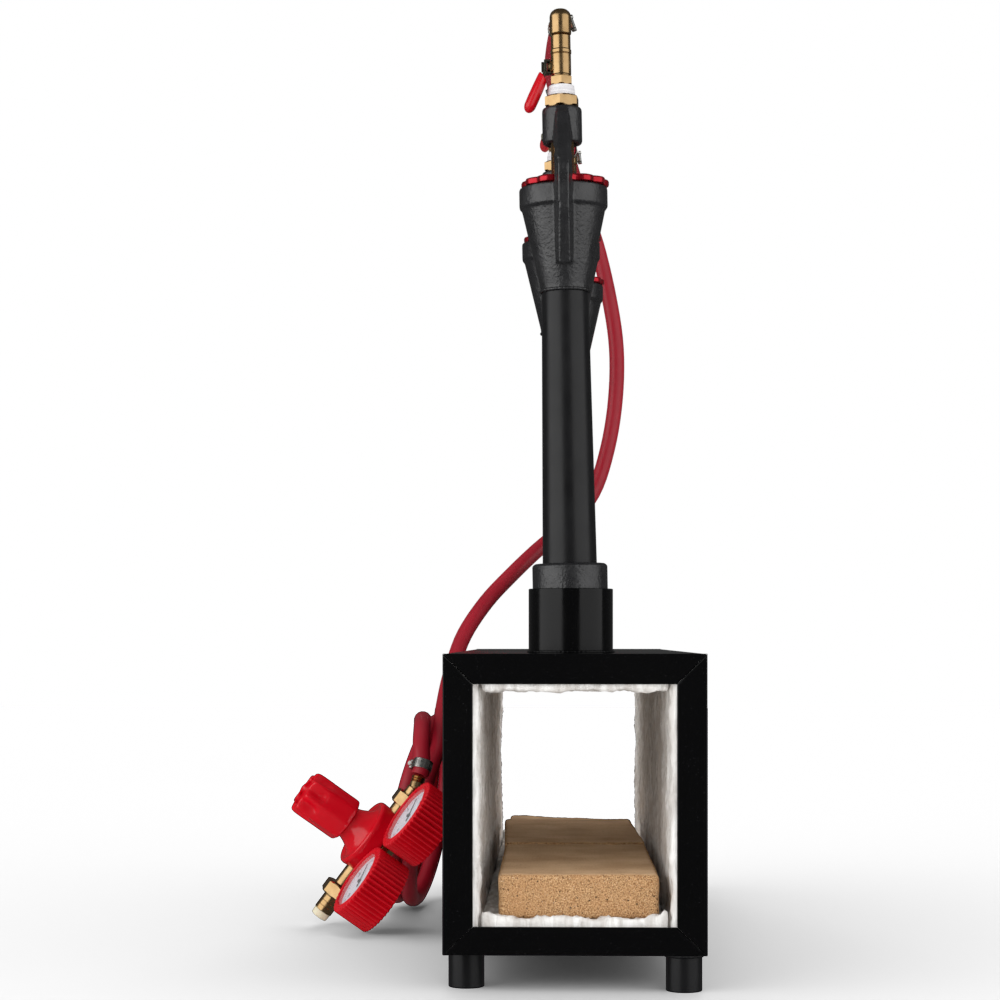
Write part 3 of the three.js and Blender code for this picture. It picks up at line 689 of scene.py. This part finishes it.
coil_turns = [coil_point(angle) for angle in range(COIL_START, COIL_END + 1, COIL_STEP)]
barb_end = [barb_tip + BARB_DIRECTION * 9, barb_tip + BARB_DIRECTION * 0.6]
gas_route = smooth_route([*MAIN_ROUTE, *coil_turns, *TAIL_ROUTE, *barb_end])
gas_hose = hose("gas_hose", gas_route, ("main_hose", "hose_coil", "hose_tail"))


# ---------------- body
BODY_HALF = 93
BODY_END = 345
BODY_BOTTOM = 26
BODY_TOP = 238
FRAME_SIDE = 21.3
FRAME_TOP = 21.5
FRAME_BOTTOM = 20
FRAME_THICK = 3
MITRE_GAP = 0.12


def corners(half, bottom, top):
    return [(-half, bottom), (half, bottom), (half, top), (-half, top)]


def end_frame(name, y, node):
    """Four bars mitred at the corners, with a fine open line left at each mitre."""
    side = BODY_HALF - FRAME_SIDE
    sill = BODY_BOTTOM + FRAME_BOTTOM
    lintel = BODY_TOP - FRAME_TOP
    outer = corners(BODY_HALF, BODY_BOTTOM, BODY_TOP)
    inner = corners(side, sill, lintel)
    upright = shift(0, y, 0) @ turn(90, "X")
    bars = []
    for index in range(len(outer)):
        after = (index + 1) % len(outer)
        outline = [Vector(point) for point in (outer[index], outer[after], inner[after], inner[index])]
        along = (outline[1] - outline[0]).normalized() * MITRE_GAP
        outline = [outline[0] + along, outline[1] - along, outline[2] - along, outline[3] + along]
        bars.append(moved(prism(outline, 0, FRAME_THICK, 0.9, 3), upright))
    piece(name, merged(*bars), "gloss_black_paint", replaces=(node,))


BEAD_STEPS = 6
BEAD_SIDES = 8


def weld_bead(name, place, radius, thick, lumps, slot):
    """A bead round a joint: a ring whose section swells and shrinks from drop to drop."""
    mesh = bmesh.new()
    steps = lumps * BEAD_STEPS
    rings = []
    for step in range(steps):
        around = TAU * step / steps
        drop = 0.18 * abs(math.sin(lumps * around / 2))
        uneven = 0.12 * noise.noise(Vector((step * 0.7, radius, 0)))
        swell = thick * (0.82 + drop + uneven)
        ring = []
        for side in range(BEAD_SIDES):
            angle = TAU * side / BEAD_SIDES
            reach = radius + swell * math.cos(angle)
            spot = (reach * math.cos(around), reach * math.sin(around), swell * math.sin(angle))
            ring.append(mesh.verts.new(spot))
        rings.append(ring)
    for low, high in zip(rings, rings[1:] + rings[:1]):
        for side in range(BEAD_SIDES):
            after = (side + 1) % BEAD_SIDES
            mesh.faces.new((low[side], low[after], high[after], high[side]))
    return piece(name, mesh, slot, place, sharp=180)


LEG_WALL = 2
BEAD = 1.3


def add_body():
    end_frame("front_bars", -BODY_END + FRAME_THICK, "front_frame")
    end_frame("rear_bars", BODY_END, "rear_frame")
    for corner in ("front_left", "front_right", "rear_left", "rear_right"):
        low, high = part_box(f"leg_{corner}")
        centre = (low + high) / 2 / MM
        outer = (high.x - low.x) / 2 / MM
        place = shift(centre.x, centre.y, 0)
        foot = pipe(outer, outer - LEG_WALL, 0, BODY_BOTTOM, 0.7)
        piece(f"foot_{corner}", foot, "satin_black_paint", place, replaces=(f"leg_{corner}",))
        joint = place @ shift(0, 0, BODY_BOTTOM - 0.9)
        weld_bead(f"foot_weld_{corner}", joint, outer + 0.2, BEAD, 26, "satin_black_paint")
    dress("shell", "gloss_black_paint")


def dress(node, slot):
    """Gives a carried-over node its material."""
    made = frame["nodes"][node]
    made.data.materials.clear()
    made.data.materials.append(LOOKS[slot])


# ---------------- lining and bricks
UNIFORM = (1, 1, 1)
ALONG = (0.5, 4, 1.6)
LINING_INSET = Vector((0.48, 0.48, 0.48))


def blanket(node, name):
    """A slab of fibre blanket: uneven faces, and edges torn where it was cut."""
    low, high = (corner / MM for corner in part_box(node))
    sheet = slab(low + LINING_INSET, high - LINING_INSET)
    made = piece(name, sheet, "ceramic_fibre", replaces=(node,))
    remeshed(made, voxel=2.8, smoothing=2)
    rough(made, [(1.7, 26, ALONG), (1.5, 9, UNIFORM), (1.2, 3.6, UNIFORM)])
    return made


LIP_DEPTH = 16
LIP_BOTTOM = BODY_BOTTOM + FRAME_BOTTOM - 4
LIP_HALF = 64
LIP_CORNER = 0.25
LIP_RISE = 4.4
LIP_CORNER_RISE = 6.5


def torn_lip(made):
    """Lifts the ends of the floor blanket into a torn lip, highest against the walls."""
    for vertex in made.data.vertices:
        spot = vertex.co / MM
        near_end = 1 - min((BODY_END - abs(spot.y)) / LIP_DEPTH, 1)
        if spot.z < LIP_BOTTOM or near_end <= 0:
            continue
        at_wall = min(max(abs(spot.x) / LIP_HALF - 1 + LIP_CORNER, 0) / LIP_CORNER, 1)
        coarse = noise.noise(Vector((spot.x / 7, spot.y / 5, 3)))
        torn = 1 + 0.7 * coarse + 0.4 * noise.noise(spot / 2.5)
        vertex.co.z += (LIP_RISE + LIP_CORNER_RISE * at_wall) * near_end ** 0.5 * torn * MM
    made.data.update()


def chipped_brick(node, name, bevel):
    """A firebrick: its edges rounded by handling, its faces uneven."""
    made = piece(name, rounded_node(node, bevel), "firebrick", replaces=(node,))
    remeshed(made, voxel=2.0, smoothing=1)
    return rough(made, [(0.5, 14, UNIFORM), (0.35, 3.1, UNIFORM)])


def rounded_node(node, bevel):
    """The node's own shape, in millimetres, with its edges rounded."""
    mesh = bmesh.new()
    mesh.from_mesh(frame["nodes"][node].data)
    bmesh.ops.remove_doubles(mesh, verts=mesh.verts, dist=1e-6)
    moved(mesh, Matrix.Scale(1 / MM, 4))
    bmesh.ops.dissolve_limit(mesh, angle_limit=math.radians(2), verts=mesh.verts, edges=mesh.edges)
    bmesh.ops.bevel(mesh, geom=mesh.edges[:], offset=bevel, segments=3, profile=0.5, affect="EDGES")
    return mesh


BRICK_BEVELS = {"front": 2.0, "middle": 1.1, "rear": 1.1}


def add_chamber():
    for side in ("left", "right", "top"):
        blanket(f"lining_{side}", f"blanket_{side}")
    torn_lip(blanket("lining_floor", "blanket_floor"))
    for place, bevel in BRICK_BEVELS.items():
        chipped_brick(f"firebrick_{place}", f"brick_{place}", bevel)


# ---------------- burners
SLEEVE_RADIUS = 31.75
SLEEVE_WALL = 2
SLEEVE_TOP = 286
FITTING_HEIGHT = 713
ARM_HALF = 7.2
ARM_TAPER = 0.56
CHOKE_OFFSET = 1.5
NUT_TURN = -6


def sleeve():
    return pipe(SLEEVE_RADIUS, SLEEVE_RADIUS - SLEEVE_WALL, BODY_TOP + 0.3, SLEEVE_TOP, 0.6, 96)


def collar():
    """The flare's outside, down in the sleeve, and its bore up to the mixing tube."""
    return turned([
        (24, 215), (27, 215), (28.3, 239), (28.3, 303.2), (26.2, 305), (21.2, 305), (21, 285), (17, 273),
    ], 1.0)


def mixing_tube():
    return turned([(18.2, 285.3), (20.7, 285.3), (17.6, 509), (15.1, 509)], 0.4, 96)


def bell(name, place):
    """The bell casting: cone, rim, and two arms up to the boss, as one cast skin."""
    cone = turned([
        (14.8, 509.3), (18.2, 509.3), (18.9, 514.5), (31.4, 571.0), (33.25, 572.6), (33.25, 587.2),
        (29.9, 587.2), (28.2, 568.6), (14.8, 513.3),
    ], 0.8, 96)
    boss = pipe(15, 9.3, 620.5, 648, 2.2)
    outer = [(27, 527), (37, 556), (41.2, 566), (42, 572), (42, 598)]
    outer += [(42 - 13 * t * t - 6 * t, 598 + 22 * t + 12 * t * t) for t in (0.25, 0.5, 0.75, 1.0)]
    outer += [(19, 641), (13.6, 647)]
    inner = [(11, 646), (11, 623), (15, 621), (24, 617.5), (30, 613), (34, 607), (34, 587.2), (31, 587.2),
             (31, 571), (20, 530)]
    arms = []
    for side in (-90, 90):
        arm = moved(prism(outer + inner, -ARM_HALF, ARM_HALF), turn(90, "X"))
        for vertex in arm.verts:
            on_outer = any((vertex.co.xz - Vector(point)).length < 0.01 for point in outer)
            vertex.co.y *= ARM_TAPER if on_outer else 1
        arms.append(moved(arm, turn(side, "Z")))
    made = piece(f"bell_casting_{name}", merged(cone, boss, *arms), "cast_black_paint", place,
                 replaces=(f"bell_{name}",))
    return remeshed(made, voxel=0.95, smoothing=4)


def nozzle_tube():
    """A threaded tube with a plain shank below."""
    shank = turned([(0, 562), (8.3, 562), (8.9, 590), (0, 590)], 0.4, 36)
    return merged(threaded(8.9, 0.55, 1.2, 590, 664.8), shank)


def valve_body():
    """A ball valve body: hexagon below, barrel, a turned ring, and the stem boss."""
    barrel = turned([
        (0, 671), (6.9, 671), (7.0, 672.6), (7.55, 673.4), (7.55, 688.2), (7.2, 688.8), (7.9, 689.1),
        (7.9, 691.6), (7.3, 692.2), (7.4, 693), (7.4, 702.2), (6.8, 702.9), (0, 703),
    ], 0.3, 64)
    stem = turned([(0, 0), (4.4, 0), (4.4, 8.6), (3.6, 9), (3.6, 10.4), (0, 10.4)], 0.3, 32)
    sideways = shift(0, 0, STEM_HEIGHT) @ turn(-90, "Y")
    return merged(hex_nut(15.4, 665.1, 672), barrel, moved(stem, sideways))


LEVER_SPLAY = 25
GRIP_START = 4
GRIP_LENGTH = 30
GRIP_TIP = 6
GRIP_FLAT = 0.74
MOUTH_DEPTH = 14
MOUTH_SLANT = 0.55
STRAP_END = shift(-1.1, 0, -3) @ turn(LEVER_SPLAY, "Y")


def lever_plate():
    """The lever strap: an eye and a nut on the stem, two lugs, and the flat inside the grip."""
    outline = arc((0, 0), 5.2, -35, 215, 20) + [(-4, -3.4), (-4, -4), (4, -4), (4, -3.4)]
    eye = moved(prism(outline, 0, 2.2, 0.4), turn(-90, "Y") @ turn(-90, "Z"))
    end = moved(slab((-1.1, -4, -14), (1.1, 4, 0.6), 0.4), STRAP_END)
    lugs = [slab((-2.2, -3.4, low), (2.9, 3.4, low + 1.6), 0.4) for low in (3.6, -5.6)]
    nut = moved(hex_nut(7, 2.1, 4.2), turn(-90, "Y"))
    return merged(eye, end, nut, *lugs)


def lever_grip():
    """A dipped vinyl grip: flat oval section, a round tip, and a mouth dipped aslant."""
    steps = 10
    levels = []
    for step in range(steps + 1):
        angle = math.pi / 2 * step / steps
        height = GRIP_TIP * (1 - math.cos(angle)) - GRIP_LENGTH
        levels.append((GRIP_TIP * math.sin(angle), height))
    levels += [(6.15, -18), (6.0, -9), (5.6, -2), (5.3, -0.8), (4.6, -0.2), (0, -0.2)]

    def shape(radius, angle, _level):
        return radius * GRIP_FLAT / math.hypot(math.cos(angle), GRIP_FLAT * math.sin(angle))
    grip = ringed(levels, 48, shape)
    for vertex in grip.verts:
        near_mouth = min(max((vertex.co.z + MOUTH_DEPTH) / MOUTH_DEPTH, 0), 1)
        vertex.co.z -= vertex.co.x * MOUTH_SLANT * near_mouth
    return moved(grip, STRAP_END @ shift(0, 0, -GRIP_START))


def fitting(kind):
    """A hose fitting: domed post, with a ribbed barb to the back and, on a tee, the front."""
    post = turned([
        (0, 703.3), (7.6, 703.3), (8.1, 704.2), (8.1, 717.5), (7.2, 720.2), (4.6, 722.4), (0, 723),
    ], 1.2, 64)
    ribs = [(0, 0), (6.6, 0), (6.6, 8.4)]
    for start in (8.6, 10.4, 12.2):
        ribs += [(5.9, start), (6.5, start + 0.2), (5.6, start + 1.6)]
    barb = turned([*ribs, (0, 14)], 0.1, 40)
    back = shift(0, 0, FITTING_HEIGHT) @ turn(-90, "X")
    parts = [post, moved(barb.copy(), back)]
    if kind == "tee":
        parts.append(moved(barb.copy(), turn(180, "Z") @ back))
    barb.free()
    return merged(*parts)


CHOKE_SCALLOPS = 12
SCALLOP_DEPTH = 2.6


def choke_disc():
    """The choke disc: a thick plate whose edge is cut by twelve round scallops."""
    levels = [
        (11, 587.5), (30.9, 587.5), (32.6, 588.4), (33, 589.6), (33, 591.6), (32.4, 592.7), (31, 593.1),
        (11, 593.1),
    ]

    def shape(radius, angle, _level):
        if radius < 20:
            return radius
        return radius - SCALLOP_DEPTH * (1 - abs(math.cos(CHOKE_SCALLOPS / 2 * angle)))
    return ringed(levels, 288, shape)


def tape():
    """Thread tape wound on the tube, wrinkled, and thinner towards the valve."""
    outline = [(8.9, 656.9), (10.2, 657.1), (10.1, 660.5), (9.5, 664.5), (8.9, 664.8)]

    def shape(radius, angle, level):
        wrinkle = noise.noise(Vector((math.cos(angle) * 2.6, math.sin(angle) * 2.6, level * 2.0)))
        return radius + 0.22 * wrinkle
    return ringed(eased(outline, 0.3), 72, shape)


BAND_HALF = 4.3
BAND_SLOTS = 22


def worm_clamp(name, place):
    """A worm-drive hose clamp: slotted band, housing, and a hexagon-headed screw."""
    radius = HOSE_RADIUS + 0.3
    band = pipe(radius + 0.9, radius, -BAND_HALF, BAND_HALF, 0.25)
    housing = slab((radius + 0.4, -4.2, -BAND_HALF), (radius + 3.9, 4.2, BAND_HALF), 1.1)
    screw = moved(merged(hex_nut(5.2, 4, 6.6), threaded(2.1, 0.35, 1.1, -5.6, 4.2, 20)),
                  shift(radius + 2.4, 0, 0) @ turn(90, "X"))
    slots = []
    for step in range(BAND_SLOTS):
        slot = slab((radius + 0.7, -0.35, -2.2), (radius + 1.15, 0.35, 2.2))
        slots.append(moved(slot, turn(30 + step * 14, "Z")))
    return piece(name, merged(band, housing, screw, *slots), "brass", place, look="zinc_steel")


def add_burner(place, kind, lever_turn):
    at = burners[place]
    fixed = (
        ("collar", collar(), "cast_black_paint", at, "flare"),
        ("mixing_pipe", mixing_tube(), "satin_black_paint", at, "mixing_tube"),
        ("nozzle_thread", nozzle_tube(), "brass", at, "nozzle_tube"),
        ("valve", valve_body(), "brass", valves[place], "valve_body"),
        ("hose_fitting", fitting(kind), "brass", at, "inlet_fitting"),
    )
    for name, mesh, slot, where, node in fixed:
        piece(f"{name}_{place}", mesh, slot, where, replaces=(f"{node}_{place}",))
    low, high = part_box(f"burner_sleeve_{place}")
    centre = (low + high) / 2 / MM
    upright = shift(centre.x, centre.y, 0)
    piece(f"sleeve_{place}", sleeve(), "gloss_black_paint", upright, replaces=(f"burner_sleeve_{place}",))
    roof = upright @ shift(0, 0, BODY_TOP + 0.6)
    weld_bead(f"sleeve_weld_{place}", roof, 31.8, BEAD, 60, "gloss_black_paint")
    bell(place, at)
    weld_bead(f"neck_weld_{place}", at @ shift(0, 0, 510), 18.2, BEAD, 34, "cast_black_paint")
    nut = hex_nut(24, 648.3, 656.9, 8.8)
    piece(f"lock_nut_{place}", nut, "brass", at @ turn(NUT_TURN, "Z"), replaces=(f"nozzle_nut_{place}",))
    piece(f"thread_tape_{place}", tape(), "brass", at, look="thread_tape")
    choke = at @ shift(CHOKE_OFFSET, 0, 0)
    piece(f"choke_{place}", choke_disc(), "red_anodised", choke, f"choke_{place}", (f"choke_disc_{place}",))
    stem = valves[place] @ shift(-STEM_END, 0, STEM_HEIGHT) @ turn(lever_turn, "X")
    lever = f"lever_{place}"
    piece(f"strap_{place}", lever_plate(), "lever_steel", stem, lever, (f"valve_lever_{place}",))
    piece(f"grip_{place}", lever_grip(), "red_vinyl", stem, lever, (f"lever_grip_{place}",))


# ---------------- jumper hoses
FITTING_CENTRE = Vector((0, 0, FITTING_HEIGHT))
JUMPER_REACH = Vector((0, 8.6, 0))
JUMPER_SAG = 4
JUMPER_BOW = 4.2
JUMPER_STEPS = 24
CLAMP_TURN = {"front": 20, "middle": 110, "rear": 110}


def add_jumper(name, start_place, end_place, node):
    """A hose between two burners, sagging and bowed a little to one side, with its two clamps."""
    start = burners[start_place] @ FITTING_CENTRE + JUMPER_REACH
    end = burners[end_place] @ FITTING_CENTRE - JUMPER_REACH
    route = []
    for step in range(JUMPER_STEPS + 1):
        t = step / JUMPER_STEPS
        point = start.lerp(end, t)
        point.x -= JUMPER_BOW * math.sin(math.pi * t)
        point.z -= JUMPER_SAG * math.sin(math.pi * t) ** 2
        route.append(point)
    hose(name, route, (node,))
    ends = ((start_place, "near", route[1], -1), (end_place, "far", route[-2], 1))
    for burner, label, point, way in ends:
        place = shift(*point) @ turn(90 * way, "X") @ turn(CLAMP_TURN[burner] * way, "Z")
        worm_clamp(f"{name}_clamp_{label}", place)


# ---------------- regulator
GAUGE_OUT = 58.4
GAUGE_FACE = 4.5
GAUGES = {"upper": 41, "lower": -28}
GAUGE_RIBS = 44
STEM_DROP = -16
DIAL_TURN = 38
DIAL_SPANS = {"upper": 10, "lower": 100}
NEEDLE_REST = 42


def gauge_boot():
    """A rubber boot: straight ribs along its side that notch its rim, and a raised inner lip."""
    outline = [
        (0, -31.6), (28.4, -31.6), (30.8, -31.4), (31.1, -31), (31.1, -1.2), (30.8, -0.6), (28.8, -0.4),
        (28.2, -0.6), (27.8, 0.1), (27.2, 0.6), (26.4, 0.6), (25.9, 0), (25.7, -5), (0, -5),
    ]
    levels = eased(outline, 0.4, 2)

    def shape(radius, angle, _level):
        if radius < 28.6:
            return radius
        groove = (0.5 + 0.5 * math.cos(GAUGE_RIBS * angle)) ** 1.2
        return radius + 1.6 - 3.0 * groove * min((radius - 28.6) / 1.0, 1)
    return ringed(levels, GAUGE_RIBS * 12, shape)


def dial_marks():
    """The marks of a generic dial: long and short ticks round three quarters of a turn."""
    marks = []
    steps = 30
    for step in range(steps + 1):
        angle = 225 - 270 * step / steps
        long_mark = step % 5 == 0
        inner = 18.8 if long_mark else 20.2
        width = 0.18 if long_mark else 0.09
        marks.append(moved(slab((inner, -width, 0), (21.8, width, 0.12)), turn(angle, "Z")))
    return merged(*marks)


DIGIT_SIZE = 3.4
DIGIT_RADIUS = 15.4


def dial_number(text, spot):
    """A number on the dial, as a thin raised figure."""
    data = bpy.data.curves.new("figure", "FONT")
    data.body = text
    data.size = DIGIT_SIZE * MM
    data.align_x = "CENTER"
    data.align_y = "CENTER"
    data.extrude = 0.00006
    holder = linked("figure", data)
    shape = bpy.data.meshes.new_from_object(holder)
    bpy.data.objects.remove(holder)
    mesh = bmesh.new()
    mesh.from_mesh(shape)
    return moved(mesh, shift(*spot) @ Matrix.Scale(1 / MM, 4))


def gauge_needle():
    outline = [(-6, -0.6), (-6, 0.6), (0, 0.5), (19, 0.12), (19, -0.12), (0, -0.5)]
    blade = prism(outline, 0.2, 0.7)
    hub = turned([(0, 0), (1.9, 0), (1.9, 1.2), (1.2, 1.7), (0, 1.8)], 0.3, 32)
    return merged(blade, hub)


def add_gauge(name, along):
    """One gauge; it returns its boot, dial, marks and lens."""
    place = regulator @ shift(along, -GAUGE_OUT, GAUGE_FACE)
    boot = piece(f"boot_{name}", gauge_boot(), "red_rubber", place, replaces=(f"gauge_{name}",))
    dial = turned([(0, -4.9), (25.6, -4.9), (25.6, -4.0), (0, -3.9)], 0.1, 96)
    face = piece(f"dial_{name}", dial, "brass", place, look="dial_white")
    figures = [dial_marks()]
    for step in range(4):
        angle = math.radians(225 - 90 * step)
        spot = (DIGIT_RADIUS * math.cos(angle), DIGIT_RADIUS * math.sin(angle), 0.05)
        figures.append(dial_number(str(DIAL_SPANS[name] * step), spot))
    marks = piece(f"dial_marks_{name}", moved(merged(*figures), shift(0, 0, -3.9)), "needle_black",
                  place @ turn(DIAL_TURN, "Z"))
    lens = turned([(0, -1.8), (25.5, -1.8), (25.5, -1.2), (0, -0.6)], 0.1, 96)
    window = piece(f"lens_{name}", lens, "brass", place, look="clear_lens")
    pivot = place @ shift(0, 0, -3.7) @ turn(NEEDLE_REST, "Z")
    piece(f"needle_piece_{name}", gauge_needle(), "needle_black", pivot, f"needle_{name}",
          (f"gauge_needle_{name}",))
    towards = math.degrees(math.atan2(GAUGE_OUT, -along))
    stem = merged(rod(5.5, 28, 35.5, 0.3, 32), hex_nut(13, 33.4, 35.4))
    spin = shift(0, 0, STEM_DROP) @ turn(towards, "Z") @ turn(90, "Y")
    piece(f"gauge_stem_{name}", stem, "brass", place @ spin)
    return [boot, face, marks, window]


def regulator_body():
    """The brass body behind the bonnet, with its inlet and outlet ports and gauge stems."""
    drum = turned([(0, -18), (20, -18), (28, -11), (28, -4.3), (0, -4.3)], 1.2)
    sideways = turn(90, "Y")
    outlet = merged(rod(7, 20, 39, 0.4, 40), hex_nut(20, 38, 50), rod(6, 49, 57, 0.4, 40))
    level = shift(0, 0, PORT_Z)
    inlet = moved(rod(7, 20, 48.2, 0.4, 40), level @ turn(-90, "Y"))
    parts = [drum, moved(outlet, level @ sideways), inlet]
    for along in GAUGES.values():
        reach = math.hypot(along, GAUGE_OUT) - 35.8
        stem = rod(5.5, 14, reach, 0.3, 32)
        angle = math.degrees(math.atan2(-GAUGE_OUT, along))
        spin = shift(0, 0, GAUGE_FACE + STEM_DROP) @ turn(angle, "Z") @ turn(90, "Y")
        parts.append(moved(stem, spin))
    return merged(*parts)


def outlet_barb():
    """The ribbed barb that the hose's end is pushed on to."""
    ribs = [(0, -3), (6, -3), (6, 2)]
    for start in (2.2, 4.4, 6.6):
        ribs += [(5.4, start), (6.3, start + 0.3), (5.2, start + 2.0)]
    return turned([*ribs, (0, OUTLET_BARB)], 0.1, 40)


def bonnet():
    """The bonnet: a deep flange with a rolled lip and a groove inside it, rising to the neck."""
    return turned([
        (0, -4), (28.6, -4), (30.4, -3), (30.9, -1), (30.6, 4), (30.7, 7), (31, 9.4), (30.5, 11.6),
        (29, 12.7), (27.2, 12.4), (25.6, 11.2), (23.6, 11.2), (20.6, 13.6), (17.8, 17.2), (15.6, 21.4),
        (14.2, 25), (13.6, 28.2), (0, 28.2),
    ], 1.3, 96)


KNOB_FLUTES = 8


def knob():
    """The knob: nearly round at its skirt, with flutes that deepen to the outer end."""
    profile = [
        (0, 0, 0), (18.2, 0, 1.0), (19.2, 0.5, 1.1), (19.8, 1.8, 1.2), (19.9, 4, 1.2), (19.9, 16, 1.3),
        (19.9, 22, 1.4), (19.9, 27, 1.6), (20, 29, 2.2), (20, 31, 3.6), (20, 34, 4.8), (20, 38, 5.2),
        (19.8, 42, 5.3), (19.2, 44.4, 5.0), (18.2, 45.6, 4.4), (16.8, 46, 3.5), (15.4, 45.6, 2.4),
        (14.4, 44.4, 1.2), (13.8, 43.4, 0), (0, 43.0, 0),
    ]
    levels = [(radius, KNOB_BOTTOM + height) for radius, height, _depth in profile]

    def shape(radius, angle, level):
        flute = (0.5 - 0.5 * math.cos(KNOB_FLUTES * angle)) ** 0.8
        return radius - profile[level][2] * flute
    return ringed(levels, 192, shape)


def inlet_stub():
    """The inlet: a hexagon nut, then a barrel with two fine grooves round it."""
    nut = hex_nut(24, 48.8, 60.5)
    barrel = turned([
        (0, 60), (8.6, 60), (8.6, 61), (8, 61.4), (8, 66.4), (7.7, 66.6), (8, 66.8), (8, 70.8), (7.7, 71),
        (8, 71.2), (8, 75.6), (0, 75.6),
    ], 0.15, 64)
    return merged(nut, barrel)


def add_regulator():
    sideways = regulator @ shift(0, 0, PORT_Z) @ turn(-90, "Y")
    cap = turned([(0, 75.7), (7.6, 75.7), (7.2, 81.4), (6.4, 82), (0, 82)], 0.6, 48)
    parts = [
        piece("regulator_drum", regulator_body(), "brass", regulator, replaces=("regulator_body",)),
        piece("bonnet", bonnet(), "red_enamel", regulator, replaces=("regulator_bonnet",)),
        piece("inlet_stub", inlet_stub(), "brass", sideways, replaces=("regulator_inlet",)),
        piece("inlet_cap", cap, "brass", sideways, look="pale_cap"),
        piece("pressure_knob", knob(), "red_enamel", regulator, "knob", ("regulator_knob",)),
    ]
    towards = BARB_DIRECTION.to_track_quat("Z", "Y").to_matrix().to_4x4()
    barb = merged(outlet_barb(), turned([(0, -6), (4.5, -5), (6.3, 0), (4.5, 5), (0, 6)], 2.4, 32))
    parts.append(piece("outlet_barb", barb, "brass", Matrix.Translation(bend_point) @ towards))
    parts.append(worm_clamp("outlet_clamp", Matrix.Translation(barb_tip + BARB_DIRECTION * 10) @ towards))
    for name, along in GAUGES.items():
        parts += add_gauge(name, along)
    return parts


# ---------------- stage
def add_area_light(name, place, target, size, radiance):
    """A rectangular panel of even brightness, whatever its size."""
    data = bpy.data.lights.new(name, "AREA")
    data.shape = "RECTANGLE"
    data.size, data.size_y = size
    data.energy = radiance * math.pi * size[0] * size[1]
    light = linked(name, data)
    light.location = place
    light.rotation_euler = (Vector(target) - Vector(place)).to_track_quat("-Z", "Y").to_euler()
    return light


STUDIO_FILL = 0.75
STUDIO_REFLECTED = 0.06
BACKDROP = 1


def add_world():
    """A white backdrop that lights the object evenly, and shows dimly in its reflections."""
    world = bpy.data.worlds.new("studio")
    bpy.context.scene.world = world
    world.use_nodes = True
    tree = world.node_tree
    tree.nodes.clear()
    path = tree.nodes.new("ShaderNodeLightPath")
    output = tree.nodes.new("ShaderNodeOutputWorld")

    def background(shade):
        node = tree.nodes.new("ShaderNodeBackground")
        node.inputs["Color"].default_value = (shade, shade, shade, 1)
        return node.outputs[0]

    def switched(ray, off, on):
        node = tree.nodes.new("ShaderNodeMixShader")
        tree.links.new(path.outputs[ray], node.inputs[0])
        tree.links.new(off, node.inputs[1])
        tree.links.new(on, node.inputs[2])
        return node.outputs[0]

    studio = switched("Is Glossy Ray", background(STUDIO_FILL), background(STUDIO_REFLECTED))
    tree.links.new(switched("Is Camera Ray", studio, background(BACKDROP)), output.inputs[0])


def add_floor():
    mesh = bmesh.new()
    bmesh.ops.create_grid(mesh, x_segments=8, y_segments=8, size=6)
    data = baked("floor", mesh)
    data.materials.append(studio_floor())
    floor = linked("floor", data)
    floor.is_shadow_catcher = True
    floor.visible_glossy = False


PANEL_SIZE = (3.2, 2.2)
FILL_SIZE = (1.2, 1.2)


def add_lights():
    """Two tall panels at the sides, and three fills that leave no highlight."""
    for name, side, radiance in (("left_panel", -1, 1.35), ("right_panel", 1, 0.9)):
        add_area_light(name, (1.9 * side, -1.3, 0.8), (0, 0, 0.4), PANEL_SIZE, radiance)
    fills = (
        ("top_fill", (0.0, 0.5, 2.4), 2.4),
        ("front_fill", (0.3, -2.6, 0.9), 2.8),
        ("back_fill", (0, 1.9, 0.3), 9.0),
    )
    for name, place, radiance in fills:
        fill = add_area_light(name, place, (0, 0, 0.15), FILL_SIZE, radiance)
        fill.visible_glossy = False


# ---------------- make it all
add_body()
add_chamber()
add_burner("front", "elbow", 0)
add_burner("middle", "tee", 90)
add_burner("rear", "tee", 90)
add_jumper("jumper_front", "front", "middle", "jumper_hose_front")
add_jumper("jumper_rear", "middle", "rear", "jumper_hose_rear")
worm_clamp("gas_hose_clamp", shift(-0.3, 252, FITTING_HEIGHT) @ turn(-90, "X") @ turn(-8, "Z"))
on_the_hose = add_regulator()
bpy.context.scene.view_settings.view_transform = "Standard"
add_world()
add_floor()
add_lights()
